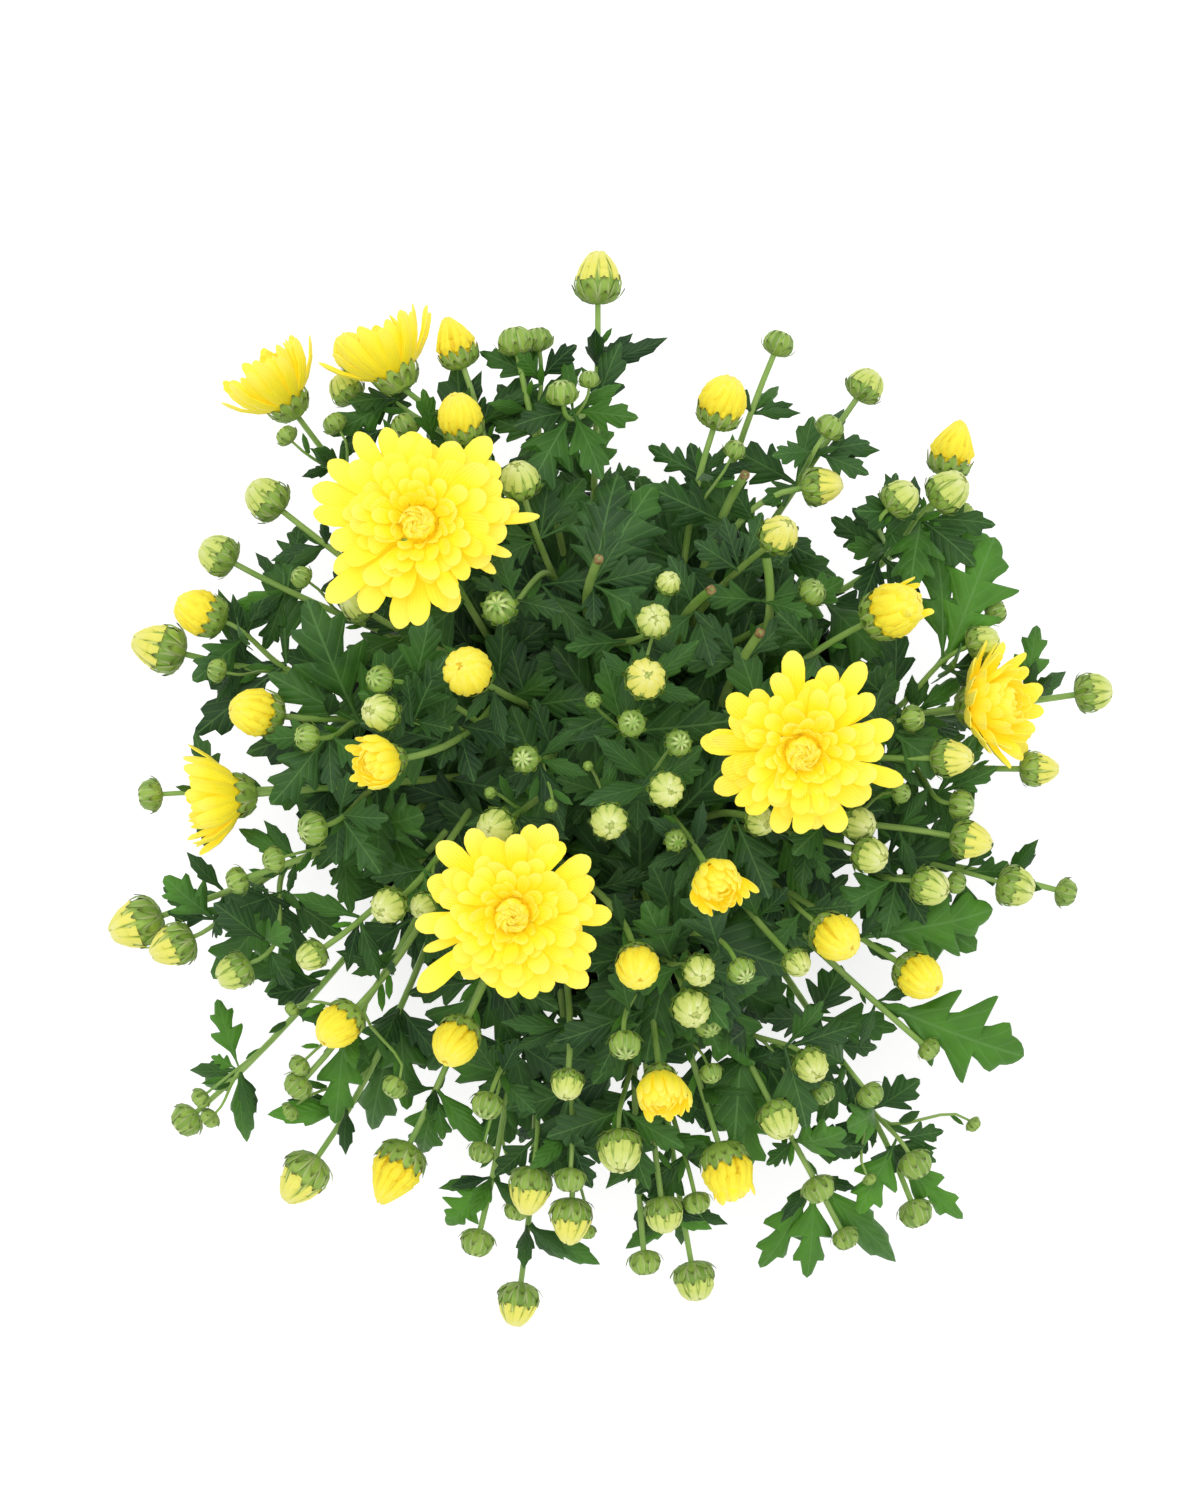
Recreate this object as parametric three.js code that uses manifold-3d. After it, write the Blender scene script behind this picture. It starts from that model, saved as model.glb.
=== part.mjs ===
// A potted chrysanthemum: a black nursery pot of soil with nine leafy stems, each carrying buds
// at every stage, and on some of them flowers that are opening or fully open.
// Millimetres, +Z up. The origin is the centre of the pot's underside.
import * as THREE from "three";
import { mergeVertices } from "three/addons/utils/BufferGeometryUtils.js";
import Module from "manifold-3d";

// Driving dimensions.
const GAP = 0.3;
const POT = { height: 126, rimRadius: 89, footRadius: 60, wall: 2, floor: 5, rimBand: 17, sides: 24 };
const SOIL = { level: 111, mound: 3, holeDepth: 22 };
const CROWN = { top: 152, spread: 36, radius: 3, sides: 5 };
const SHOOT_RADIUS = 1.5;
const BRANCH_RADIUS = 1.15;
const STUB_RADIUS = 1.6;
const STEM_SIDES = 4;
const INTERNODE = 36;
const BLADE_THICKNESS = 0.7;
const LEAF_LENGTH = 38;
const GOLDEN_ANGLE = 137.5;
// The heads stand on a dome over the pot: its top, how far it falls at the reach, and how steeply.
const DOME = { top: 256, fall: 88, reach: 500, power: 1.7 };
// Heads lean outwards, upright in the middle and lying nearly flat at the edge.
const LEAN = { middle: 8, most: 84, reach: 430, power: 1.6 };

// The plant is laid out as it shows from an eye straight above the pot, in the pixels of a picture
// 1200 wide and 1500 high whose middle is over the pot's axis.
const PICTURE = { middleX: 600, middleY: 750, eyeHeight: 1000, canopyHeight: 240, mmPerPixel: 0.3 };
const PLANT_MIDDLE = { x: 600, y: 765 };

const degrees = Math.PI / 180;
const head = (kind) => (x, y, size, more = {}) => ({ kind, x, y, size, ...more });
const green = head("green");
const pale = head("pale");
const yellow = head("yellow");
const opening = head("opening");
const bloom = head("bloom");
// A shoot that was pinched out: the pixel of its cut end, and one that it passes lower down.
const stub = (x, y, fromX, fromY) => ({
  kind: "stub", x, y, size: 11, lean: 42, lift: -18, turn: Math.atan2(fromY - y, x - fromX) / degrees,
});

// Each leafy stem has its place in the soil, and shoots. A shoot's first head ends it, and its
// other heads branch from it. x, y and size are picture pixels; lift raises a head in mm, and
// lean and turn set its axis in degrees, down from upright and anticlockwise from +X.
const LEAFY_STEMS = {
  north: {
    root: [-4, 34],
    shoots: [
      [pale(598, 281, 45), green(562, 392, 31)],
      [green(515, 340, 36), green(538, 339, 29, { lift: -6 })],
      [pale(519, 478, 40, { lift: -10 }), green(499, 607, 33, { lean: 15, lift: -12 })],
      [pale(654, 620, 34, { lean: 12 })],
    ],
    stubs: [stub(600, 556, 570, 620)],
  },
  northeast: {
    root: [24, 26],
    shoots: [
      [yellow(723, 401, 47)],
      [green(779, 343, 31)],
      [pale(867, 384, 36), green(831, 426, 30)],
      [pale(821, 486, 38, { lift: -16, lean: 80, turn: 5 })],
      [pale(780, 533, 38, { lean: 30 })],
      [yellow(953, 449, 46, { turn: 75, lean: 84, lift: -10 }), pale(902, 497, 37), pale(949, 490, 41, { lift: 6, lean: 60 })],
      [green(814, 591, 28, { lift: -22 })],
    ],
    stubs: [stub(747, 472, 700, 540), stub(714, 588, 670, 615), stub(766, 550, 745, 610)],
  },
  east: {
    root: [36, 3],
    shoots: [
      [bloom(802, 750, 197, { lean: 14, turn: -100, lift: 8 })],
      [yellow(894, 610, 54, { turn: 25 })],
      [opening(994, 703, 94, { lean: 52, turn: 8 }), pale(983, 642, 33, { lift: -4 })],
      [pale(1094, 692, 38)],
      [pale(950, 758, 37), green(914, 718, 27, { lift: -12 })],
      [pale(1037, 769, 34, { turn: 0 }), green(962, 805, 30, { lift: -8 })],
    ],
    stubs: [stub(762, 630, 720, 690)],
  },
  southeast: {
    root: [27, -24],
    shoots: [
      [pale(970, 840, 38)],
      [green(1067, 893, 28), pale(1017, 887, 40), pale(931, 887, 38, { lift: -4 })],
      [pale(872, 856, 36, { lift: -4 }), pale(860, 824, 34, { lift: -14 })],
      [pale(761, 821, 30, { lift: -14 })],
      [yellow(920, 977, 44, { lean: 50 }), yellow(837, 938, 46, { lean: 42 })],
      [pale(798, 964, 28, { lift: -6 })],
      [green(930, 1050, 24)],
      [green(916, 1214, 34, { turn: -70 }), green(916, 1165, 34, { turn: -60 }), green(871, 1096, 29, { lift: -6 })],
    ],
    stubs: [],
  },
  south: {
    root: [10, -36],
    shoots: [
      [pale(692, 1010, 38, { lean: 20 }), green(709, 1026, 28, { lift: -8 }), pale(700, 972, 32, { lean: 20 }), green(742, 972, 28)],
      [pale(780, 1121, 40, { lean: 60 }), pale(812, 1066, 34, { lean: 35 })],
      [green(846, 1239, 27), green(819, 1190, 33)],
      [yellow(728, 1173, 50)],
      [pale(695, 1282, 40), green(697, 1204, 28, { lift: -5 })],
      [opening(661, 1089, 64, { lean: 48, turn: -85 }), green(625, 1046, 32)],
      [pale(664, 1216, 38)],
      [green(645, 1264, 32), pale(620, 1153, 44, { lean: 55 })],
    ],
    stubs: [],
  },
  southwest: {
    root: [-20, -31],
    shoots: [
      [yellow(638, 968, 43, { lean: 30 })],
      [pale(571, 1219, 41), green(570, 1181, 31)],
      [pale(518, 1303, 40), pale(530, 1188, 42, { lift: -2 })],
      [green(477, 1243, 33), green(487, 1106, 32)],
      [pale(567, 1086, 32)],
      [yellow(395, 1173, 52)],
      [yellow(455, 1043, 45)],
      [bloom(513, 914, 196, { lean: 6, turn: -90, lift: 4 })],
    ],
    stubs: [],
  },
  west: {
    root: [-35, -8],
    shoots: [
      [yellow(338, 1026, 43)],
      [pale(304, 1176, 46)],
      [green(186, 1121, 33)],
      [green(297, 1087, 30)],
      [pale(138, 924, 50), pale(174, 945, 42, { lift: 3 }), pale(234, 972, 36)],
      [green(236, 881, 28)],
      [opening(221, 797, 84, { lean: 80 }), green(149, 795, 32), green(311, 829, 33)],
      [pale(311, 956, 30, { lift: -4 })],
      [pale(387, 907, 35, { lean: 25 })],
    ],
    stubs: [],
  },
  northwest: {
    root: [-28, 22],
    shoots: [
      [bloom(420, 525, 205, { lean: 5, turn: 120, lift: 8 })],
      [opening(277, 388, 84, { lean: 74, turn: 126 })],
      [opening(388, 357, 86), yellow(352, 352, 37, { lift: -9, turn: 125 }), pale(345, 388, 33, { lift: -16 })],
      [yellow(455, 343, 42, { turn: 110 }), green(405, 425, 30, { lift: -22 })],
      [yellow(460, 417, 44, { turn: 105, lift: -6 })],
      [pale(266, 498, 42)],
      [pale(217, 554, 40)],
      [pale(162, 648, 47), yellow(199, 612, 45)],
      [yellow(255, 712, 47), green(306, 737, 28)],
      [opening(382, 762, 62, { lean: 50, turn: 190 }), pale(379, 712, 37, { lean: 30 }), green(379, 679, 28, { lean: 30 })],
      [pale(356, 604, 33, { lift: -16 })],
    ],
    stubs: [],
  },
  centre: {
    root: [2, 2],
    shoots: [
      [yellow(467, 671, 48, { lean: 16 })],
      [pale(646, 678, 40, { lean: 8 })],
      [green(632, 723, 27, { lift: -8 })],
      [pale(667, 790, 35, { lean: 10 })],
      [pale(609, 822, 36, { lean: 10, lift: -4 })],
      [green(525, 759, 27, { lift: -12 })],
      [opening(716, 881, 64, { lean: 32, turn: -60 })],
      [pale(495, 828, 38, { lift: -12 })],
    ],
    stubs: [],
  },
};

// The leaves that stand out at the edge: the pixels of the blade's root and tip, its width as a
// share of its length, and its form.
const leafShape = (outline, share) => (fromX, fromY, toX, toY, width = share) => ({ fromX, fromY, toX, toY, width, outline });
const lobed = leafShape("lobed", 0.62);
const cleft = leafShape("cleft", 0.5);
const lance = leafShape("lance", 0.3);
const LARGE_LEAVES = [
  lobed(885, 600, 872, 512), lobed(983, 625, 995, 537), lobed(935, 1040, 1024, 1056), lobed(850, 935, 993, 909),
  lobed(505, 1150, 447, 1225), lobed(325, 590, 300, 525), lobed(420, 1020, 352, 1082), cleft(420, 1040, 372, 1130, 0.42),
  cleft(925, 605, 935, 548), cleft(1005, 665, 1037, 625), cleft(930, 655, 974, 615), cleft(905, 1170, 963, 1219, 0.36),
  cleft(275, 1027, 217, 999), cleft(280, 1030, 211, 1056), cleft(285, 1045, 205, 1085), cleft(343, 1055, 335, 1124),
  cleft(435, 1035, 407, 1110), cleft(437, 1060, 443, 1140), cleft(430, 1070, 423, 1153, 0.62), cleft(370, 815, 298, 783),
  cleft(265, 880, 214, 918), cleft(305, 600, 264, 650), cleft(640, 470, 603, 419),
  lance(855, 1220, 896, 1262), lance(835, 1210, 807, 1278), lance(800, 1165, 760, 1268, 0.36), lance(300, 805, 284, 757),
  lance(570, 420, 622, 384), lance(552, 405, 566, 352), lance(730, 435, 779, 386),
];

// Half outlines, as [place along, half width], both as shares of the length and of the width.
const OUTLINES = {
  lobed: [[0, 0.03], [0.26, 0.05], [0.44, 0.5], [0.52, 0.2], [0.7, 0.44], [0.76, 0.2], [1, 0]],
  cleft: [[0, 0.028], [0.6, 0.5], [0.68, 0.2], [1, 0]],
  lance: [[0, 0.05], [0.5, 0.5], [1, 0]],
};

const vector = (x, y, z) => new THREE.Vector3(x, y, z);
const UP = vector(0, 0, 1);

// A repeatable number from 0 to 1 for each pair of keys.
function jitter(a, b) {
  const s = Math.sin(a * 12.9898 + b * 78.233) * 43758.5453;
  return s - Math.floor(s);
}

function pixelSize(z) {
  const { eyeHeight, canopyHeight, mmPerPixel } = PICTURE;
  return (mmPerPixel * (eyeHeight - z)) / (eyeHeight - canopyHeight);
}

// The point at height z that shows at a pixel of the picture.
function seenAt(x, y, z) {
  const mm = pixelSize(z);
  return vector((x - PICTURE.middleX) * mm, (PICTURE.middleY - y) * mm, z);
}

// A head's centre, axis and diameter, and its neck, where the stem ends.
const NECK = { stub: 0.3, green: 0.42, pale: 0.5, yellow: 0.62, opening: 0.42, bloom: 0.06 };
function placeHead(h) {
  const across = h.x - PLANT_MIDDLE.x;
  const along = PLANT_MIDDLE.y - h.y;
  const away = Math.hypot(across, along);
  const z = DOME.top - DOME.fall * (away / DOME.reach) ** DOME.power + (h.lift ?? 0);
  const leaning = LEAN.middle + (LEAN.most - LEAN.middle) * Math.min(1, (away / LEAN.reach) ** LEAN.power);
  const lean = (h.lean ?? leaning) * degrees;
  const turn = h.turn === undefined ? Math.atan2(along, across) : h.turn * degrees;
  const axis = vector(Math.sin(lean) * Math.cos(turn), Math.sin(lean) * Math.sin(turn), Math.cos(lean));
  const centre = seenAt(h.x, h.y, z);
  const diameter = h.size * pixelSize(z);
  const neck = centre.clone().addScaledVector(axis, -NECK[h.kind] * diameter);
  return { ...h, centre, axis, diameter, neck };
}

// Solids.
const wasm = await Module();
wasm.setup();

function solid(geometry) {
  const bare = geometry.index ? geometry.toNonIndexed() : geometry.clone();
  bare.deleteAttribute("normal");
  bare.deleteAttribute("uv");
  const merged = mergeVertices(bare, 1e-4);
  const triVerts = new Uint32Array(merged.index.array);
  return new wasm.Manifold(new wasm.Mesh({ numProp: 3, vertProperties: merged.attributes.position.array, triVerts }));
}

function geometryOf(manifold) {
  const mesh = manifold.getMesh();
  const geometry = new THREE.BufferGeometry();
  geometry.setAttribute("position", new THREE.BufferAttribute(new Float32Array(mesh.vertProperties), 3));
  geometry.setIndex(new THREE.BufferAttribute(new Uint32Array(mesh.triVerts), 1));
  geometry.computeVertexNormals();
  return geometry;
}

// A turned solid about +Z from a profile of [radius, height], both ends on the axis.
function turned(profile, sides) {
  const points = profile.map(([r, h]) => new THREE.Vector2(r, h));
  return new THREE.LatheGeometry(points, sides).rotateX(Math.PI / 2);
}

// The same, standing at a place with its axis along a direction.
function turnedAt(profile, sides, place, axis) {
  const turn = new THREE.Quaternion().setFromUnitVectors(UP, axis);
  return solid(turned(profile, sides).applyQuaternion(turn).translate(place.x, place.y, place.z));
}

// A closed skin over rings of points that run anticlockwise about the way they follow. A ring may
// have its own number of points, and the last may be a single one.
function skinned(rings) {
  const points = rings.flat();
  const starts = [];
  rings.reduce((start, ring) => (starts.push(start), start + ring.length), 0);
  const faces = [];
  const fan = (start, count, flip) => {
    for (let i = 1; i + 1 < count; i++) faces.push(start, start + (flip ? i + 1 : i), start + (flip ? i : i + 1));
  };
  fan(0, rings[0].length, true);
  for (let k = 1; k < rings.length; k++) {
    const [n, m] = [rings[k - 1].length, rings[k].length];
    const [low, high] = [starts[k - 1], starts[k]];
    for (let i = 0, j = 0; i < n || (m > 1 && j < m); ) {
      if (m === 1 || (i < n && (i + 1) / n <= (j + 1) / m)) faces.push(low + i, low + (++i % n), high + (j % m));
      else faces.push(low + (i % n), high + ((j + 1) % m), high + (j++ % m));
    }
  }
  fan(starts[rings.length - 1], rings[rings.length - 1].length, false);
  const geometry = new THREE.BufferGeometry();
  geometry.setAttribute("position", new THREE.Float32BufferAttribute(points.flatMap((p) => p.toArray()), 3));
  geometry.setIndex(faces);
  return solid(geometry);
}

// Rings round the points of a way, each as [point, heading, radius, sides].
function ringsAlong(way) {
  let u = vector(1, 0.2, 0.1);
  return way.map(([point, heading, radius, sides]) => {
    u = u.clone().addScaledVector(heading, -u.dot(heading)).normalize();
    const v = heading.clone().cross(u);
    if (radius === 0) return [point.clone()];
    return Array.from({ length: sides }, (_, i) => {
      const a = (i / sides) * 2 * Math.PI;
      return point.clone().addScaledVector(u, radius * Math.cos(a)).addScaledVector(v, radius * Math.sin(a));
    });
  });
}

// A thin arched blade from root to tip. Its face looks along up.
function blade({ root, tip, up, width, arch = 0, outline, thickness = BLADE_THICKNESS }) {
  const along = tip.clone().sub(root);
  const length = along.length();
  const side = up.clone().cross(along).normalize();
  const face = along.clone().cross(side).normalize();
  const points = [];
  const at = (s, q, h) => {
    const p = root.clone().addScaledVector(along, s).addScaledVector(side, q * width);
    points.push(p.addScaledVector(face, arch * length * 4 * s * (1 - s) + h));
    return points.length - 1;
  };
  const half = thickness / 2;
  const corners = (s, q) => [at(s, q, half), at(s, -q, half), at(s, -q, -half), at(s, q, -half)];
  const rungs = outline.map(([s, q]) => (q > 0 ? corners(s, q) : [at(s, 0, half), at(s, 0, -half)]));
  const faces = [];
  const quad = (a, b, c, d) => faces.push(a, b, c, a, c, d);
  const [first, last] = [rungs[0], rungs[rungs.length - 1]];
  quad(first[0], first[3], first[2], first[1]);
  if (last.length === 4) quad(...last);
  rungs.slice(1).forEach((rung, i) => {
    const before = rungs[i];
    if (rung.length === 4) before.forEach((b, k) => quad(b, before[(k + 1) % 4], rung[(k + 1) % 4], rung[k]));
    else {
      faces.push(before[0], before[1], rung[0], before[2], before[3], rung[1]);
      quad(before[1], before[2], rung[1], rung[0]);
      quad(before[3], before[0], rung[0], rung[1]);
    }
  });
  const geometry = new THREE.BufferGeometry();
  geometry.setAttribute("position", new THREE.Float32BufferAttribute(points.flatMap((p) => p.toArray()), 3));
  geometry.setIndex(faces);
  return solid(geometry);
}

// What a stem ends in: rings as [height, radius, sides], the first two as shares of the head's
// diameter, from the neck along the axis. The cup under a yellow head ends flat, just below it.
const ENDS = {
  green: [[0.3, 0.5, 5], [0.72, 0.34, 5], [0.84, 0, 1]],
  pale: [[0.3, 0.5, 6], [0.76, 0.36, 6], [1, 0, 1]],
  stub: [[0.3, 0.42, 4]],
  yellow: [[0.12, 0.3, 6], [0.3, 0.42, 6]],
  opening: [[0.09, 0.16, 6], [0.2, 0.2, 6]],
  bloom: [[0.03, 0.09, 6], [0.06, 0.1, 6]],
};

function endRings(h) {
  return ENDS[h.kind].map(([up, out, sides]) => [
    h.neck.clone().addScaledVector(h.axis, up * h.diameter), h.axis, out * h.diameter, sides,
  ]);
}

function headSolid(h) {
  return skinned(ringsAlong([[h.neck, h.axis, BRANCH_RADIUS, STEM_SIDES], ...endRings(h)]));
}

function baseOf(h) {
  const end = ENDS[h.kind];
  return end[end.length - 1][0] * h.diameter + GAP;
}

function yellowBud(h) {
  const r = h.diameter / 2;
  const base = baseOf(h);
  const profile = [[0, base], [0.78 * r, base], [r, base + 0.5 * r], [0.7 * r, base + 1.3 * r], [0, base + 1.75 * r]];
  return turnedAt(profile, 8, h.neck, h.axis);
}

// A flower is one skin: a hub of rows of points about its axis, with a petal drawn out of each face
// of a row pair. Rows are [radius, height], and lengths and widths too are shares of the diameter;
// rise is in degrees from the flower's plane.
const FLOWERS = {
  opening: {
    petals: 7,
    rings: [{ low: [0.21, 0], high: [0.15, 0.06], length: 0.66, width: 0.25, rise: 76, arch: 0.2 }],
    top: [[0.19, 0.24], [0.14, 0.46]],
    apex: 0.56,
  },
  bloom: {
    petals: 11,
    rings: [
      { low: [0.1, 0], high: [0.125, 0.02], length: 0.41, width: 0.15, rise: 2, arch: 0.08 },
      { low: [0.125, 0.037], high: [0.12, 0.055], length: 0.31, width: 0.14, rise: 20, arch: 0.08 },
      { low: [0.11, 0.075], high: [0.095, 0.092], length: 0.2, width: 0.12, rise: 42, arch: 0.08 },
    ],
    top: [],
    apex: 0.13,
  },
};
const PETAL = { widest: 0.7, end: 0.5 };

function flower(h) {
  const { petals, rings, top, apex } = FLOWERS[h.kind];
  const size = h.diameter;
  const base = baseOf(h);
  const points = [vector(0, 0, base)];
  const faces = [];
  const quad = (a, b, c, d) => faces.push(a, b, c, a, c, d);
  const ringAt = (angle) => vector(Math.cos(angle), Math.sin(angle), 0);
  const addRow = ([radius, height], twist) => {
    const start = points.length;
    for (let i = 0; i < petals; i++)
      points.push(ringAt(((i + twist) / petals) * 2 * Math.PI).multiplyScalar(radius * size).setZ(height * size + base));
    return start;
  };
  const band = (low, high) => {
    for (let i = 0; i < petals; i++) quad(low + i, low + ((i + 1) % petals), high + ((i + 1) % petals), high + i);
  };
  const drawOut = (corners, ring, layer, i) => {
    const rise = (ring.rise + 9 * (jitter(h.y + i, layer + 5) - 0.5)) * degrees;
    const length = ring.length * size * (0.86 + 0.2 * jitter(h.x - i, layer + 9));
    const root = corners.reduce((sum, c) => sum.add(points[c]), vector(0, 0, 0)).multiplyScalar(0.25);
    const out = root.clone().setZ(0).normalize();
    const side = UP.clone().cross(out);
    const along = out.clone().multiplyScalar(Math.cos(rise)).addScaledVector(UP, Math.sin(rise));
    const face = UP.clone().multiplyScalar(Math.cos(rise)).addScaledVector(out, -Math.sin(rise));
    let before = corners;
    for (const [s, share] of [[PETAL.widest, 1], [1, PETAL.end]]) {
      const middle = root.clone().addScaledVector(along, s * length).addScaledVector(face, -ring.arch * length * 4 * s * (1 - s));
      const start = points.length;
      for (const [q, t] of [[-1, -1], [1, -1], [1, 1], [-1, 1]])
        points.push(
          middle.clone().addScaledVector(side, (q * share * ring.width * size) / 2).addScaledVector(face, (t * BLADE_THICKNESS) / 2),
        );
      const after = [0, 1, 2, 3].map((k) => start + k);
      for (let k = 0; k < 4; k++) {
        const [a, b, c, d] = [before[k], before[(k + 1) % 4], after[(k + 1) % 4], after[k]];
        // The inner face is split the same way as the outer one, so that the thin petal's two never cross.
        if (k === 2) quad(b, c, d, a);
        else quad(a, b, c, d);
      }
      before = after;
    }
    quad(...before);
  };
  let last = 0;
  rings.forEach((ring, layer) => {
    const [low, high] = [addRow(ring.low, layer / 2), addRow(ring.high, layer / 2)];
    if (layer) band(last, low);
    else for (let i = 0; i < petals; i++) faces.push(0, low + ((i + 1) % petals), low + i);
    for (let i = 0; i < petals; i++) {
      const next = (i + 1) % petals;
      drawOut([low + i, low + next, high + next, high + i], ring, layer, i);
    }
    last = high;
  });
  for (const row of top) {
    const next = addRow(row, (rings.length - 1) / 2);
    band(last, next);
    last = next;
  }
  points.push(vector(0, 0, apex * size + base));
  for (let i = 0; i < petals; i++) faces.push(last + i, last + ((i + 1) % petals), points.length - 1);
  const geometry = new THREE.BufferGeometry();
  geometry.setAttribute("position", new THREE.Float32BufferAttribute(points.flatMap((p) => p.toArray()), 3));
  geometry.setIndex(faces);
  geometry.applyQuaternion(new THREE.Quaternion().setFromUnitVectors(UP, h.axis));
  return solid(geometry.translate(h.neck.x, h.neck.y, h.neck.z));
}

// What stands where: each node's pieces, so that what grows next is kept clear of them.
const nodes = {};
function keep(node, piece, of) {
  (nodes[node] ??= []).push({ node, piece, of, box: piece.boundingBox() });
}

function boxesMeet(a, b) {
  return [0, 1, 2].every((k) => a.min[k] < b.max[k] && b.min[k] < a.max[k]);
}

// Whether a piece keeps clear of all that stands, but for what is let through.
function isClear(piece, letThrough) {
  const box = piece.boundingBox();
  const meets = (o) => !letThrough(o) && boxesMeet(box, o.box) && !piece.intersect(o.piece).isEmpty();
  return !Object.values(nodes).some((pieces) => pieces.some(meets));
}

// Heads first: every stem and leaf grows round them.
const LABELS = { yellow: "yellow_bud", opening: "opening_flower", bloom: "bloom" };
const counts = {};
const plants = Object.entries(LEAFY_STEMS).map(([name, { root, shoots, stubs }]) => ({
  name: `leafy_stem_${name}`,
  root: vector(root[0], root[1], SOIL.level - SOIL.holeDepth),
  shoots: [...shoots, ...stubs.map((s) => [s])].map((shoot) => shoot.map(placeHead)),
  stems: [],
}));
for (const plant of plants)
  for (const h of plant.shoots.flat()) {
    keep(plant.name, headSolid(h), h);
    if (!LABELS[h.kind]) continue;
    counts[h.kind] = (counts[h.kind] ?? 0) + 1;
    keep(`${LABELS[h.kind]}_${counts[h.kind]}`, h.kind === "yellow" ? yellowBud(h) : flower(h), h);
  }

// Stems. One that would cross another takes the first way round it: how far it is bent aside in mm,
// and how far it follows its parent's heading before it turns, as a share of its reach.
const WAYS = [0, 8, -8, 16, -16, 25, -25, 35, -35].flatMap((bend) => [0.38, 0.5, 0.26].map((hold) => ({ bend, hold })));
const CLEAR = 0.5;
const BARE_START = 0.14;

function stemCurve(from, heading, h, { bend, hold }) {
  const reach = from.distanceTo(h.neck);
  const sideways = h.neck.clone().sub(from).cross(UP).normalize().multiplyScalar(bend);
  return new THREE.CubicBezierCurve3(
    from,
    from.clone().addScaledVector(heading, reach * hold).add(sideways),
    h.neck.clone().addScaledVector(h.axis, -reach * 0.34).addScaledVector(sideways, 0.6),
    h.neck,
  );
}

// The curve's points and headings between two shares of it, evenly spaced in its parameter.
function wayAlong(curve, steps, start, end, radius) {
  return Array.from({ length: steps + 1 }, (_, i) => {
    const t = start + ((end - start) * i) / steps;
    return [curve.getPoint(t), curve.getTangent(t), radius, STEM_SIDES];
  });
}

function growStem(plant, from, heading, h, radius, parent) {
  const steps = Math.max(2, Math.round(from.distanceTo(h.neck) / INTERNODE));
  const around = (curve, start) => skinned(ringsAlong(wayAlong(curve, steps + 1, start, 0.985, radius + CLEAR)));
  const bent = WAYS.map((way) => stemCurve(from, heading, h, way));
  const curve = bent.find(
    (c) =>
      isClear(around(c, BARE_START), (o) => o.of === h || o.of === parent) &&
      isClear(around(c, 0), (o) => o.of === h || o.node === plant.name),
  );
  if (!curve) throw new Error(`no clear way to the head at ${h.x}, ${h.y}`);
  const way = wayAlong(curve, steps, 0, 1, radius);
  const stem = { h, radius, joints: way.map((w) => w[0]), headings: way.map((w) => w[1]) };
  const own = nodes[plant.name];
  own.splice(own.findIndex((o) => o.of === h), 1);
  keep(plant.name, skinned(ringsAlong([...way, ...endRings(h)])), stem);
  plant.stems.push(stem);
  return stem;
}

for (const plant of plants) {
  plant.top = plant.root.clone().setZ(CROWN.top);
  const up = (p) => [p, UP, CROWN.radius, CROWN.sides];
  keep(plant.name, skinned(ringsAlong([up(plant.root), up(plant.top)])), plant);
}
// The shoots that reach out furthest leave the main stem lowest.
for (const plant of plants) {
  const out = (h) => Math.hypot(h.neck.x - plant.root.x, h.neck.y - plant.root.y);
  const ordered = [...plant.shoots].sort((a, b) => out(b[0]) - out(a[0]));
  ordered.forEach(([last, ...others], i) => {
    const share = (i + 1) / ordered.length;
    const outwards = last.neck.clone().sub(plant.top).setZ(0).normalize();
    const from = plant.top.clone().setZ(CROWN.top - 1.5 - CROWN.spread * (1 - share)).addScaledVector(outwards, 1.2);
    const heading = UP.clone().addScaledVector(outwards, 0.9 - 0.6 * share).normalize();
    const radius = last.kind === "stub" ? STUB_RADIUS : SHOOT_RADIUS;
    const shoot = growStem(plant, from, heading, last, radius, plant);
    for (const h of others) {
      const goal = h.neck.clone().addScaledVector(h.axis, -36);
      const places = shoot.joints.slice(1, -1);
      const nearest = places.reduce((best, p, k) => (p.distanceTo(goal) < places[best].distanceTo(goal) ? k : best), 0);
      growStem(plant, places[nearest], shoot.headings[nearest + 1], h, BRANCH_RADIUS, shoot);
    }
  });
}

// Leaves, one to a stretch of stem, turned about it by the first of these in degrees that is clear.
const TURNS = [0, 50, -50, 100, -100, 160];

function leafForm(stem, k, index, turnBy) {
  const root = stem.joints[k].clone().lerp(stem.joints[k + 1], 0.5);
  const heading = stem.joints[k + 1].clone().sub(stem.joints[k]).normalize();
  const share = (k + 0.5) / (stem.joints.length - 1);
  const u = vector(1, 0.2, 0.1).cross(heading).normalize();
  const v = heading.clone().cross(u);
  const around = (GOLDEN_ANGLE * index + turnBy) * degrees;
  const way = u.multiplyScalar(Math.cos(around)).addScaledVector(v, Math.sin(around)).addScaledVector(heading, 0.4);
  way.z = way.z * 0.45 + 0.12;
  const length = LEAF_LENGTH * (1.2 - 0.6 * share) * (0.8 + 0.4 * jitter(index, 3));
  const narrow = share > 0.75 || length < 20;
  return {
    root,
    tip: root.clone().addScaledVector(way.normalize(), length),
    up: UP,
    width: length * (narrow ? 0.34 : 0.62),
    arch: 0.1,
    outline: narrow ? OUTLINES.lance : OUTLINES.cleft,
  };
}

function addLeaf(plant, forms) {
  const thickness = BLADE_THICKNESS + 2 * CLEAR;
  const form = forms.find((f) => {
    const beyondRoot = { ...f, root: f.root.clone().lerp(f.tip, 0.16) };
    return (
      isClear(blade({ ...beyondRoot, thickness }), () => false) &&
      isClear(blade({ ...f, thickness }), (o) => o.node === plant.name)
    );
  });
  if (form) keep(plant.name, blade(form), form);
}

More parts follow.
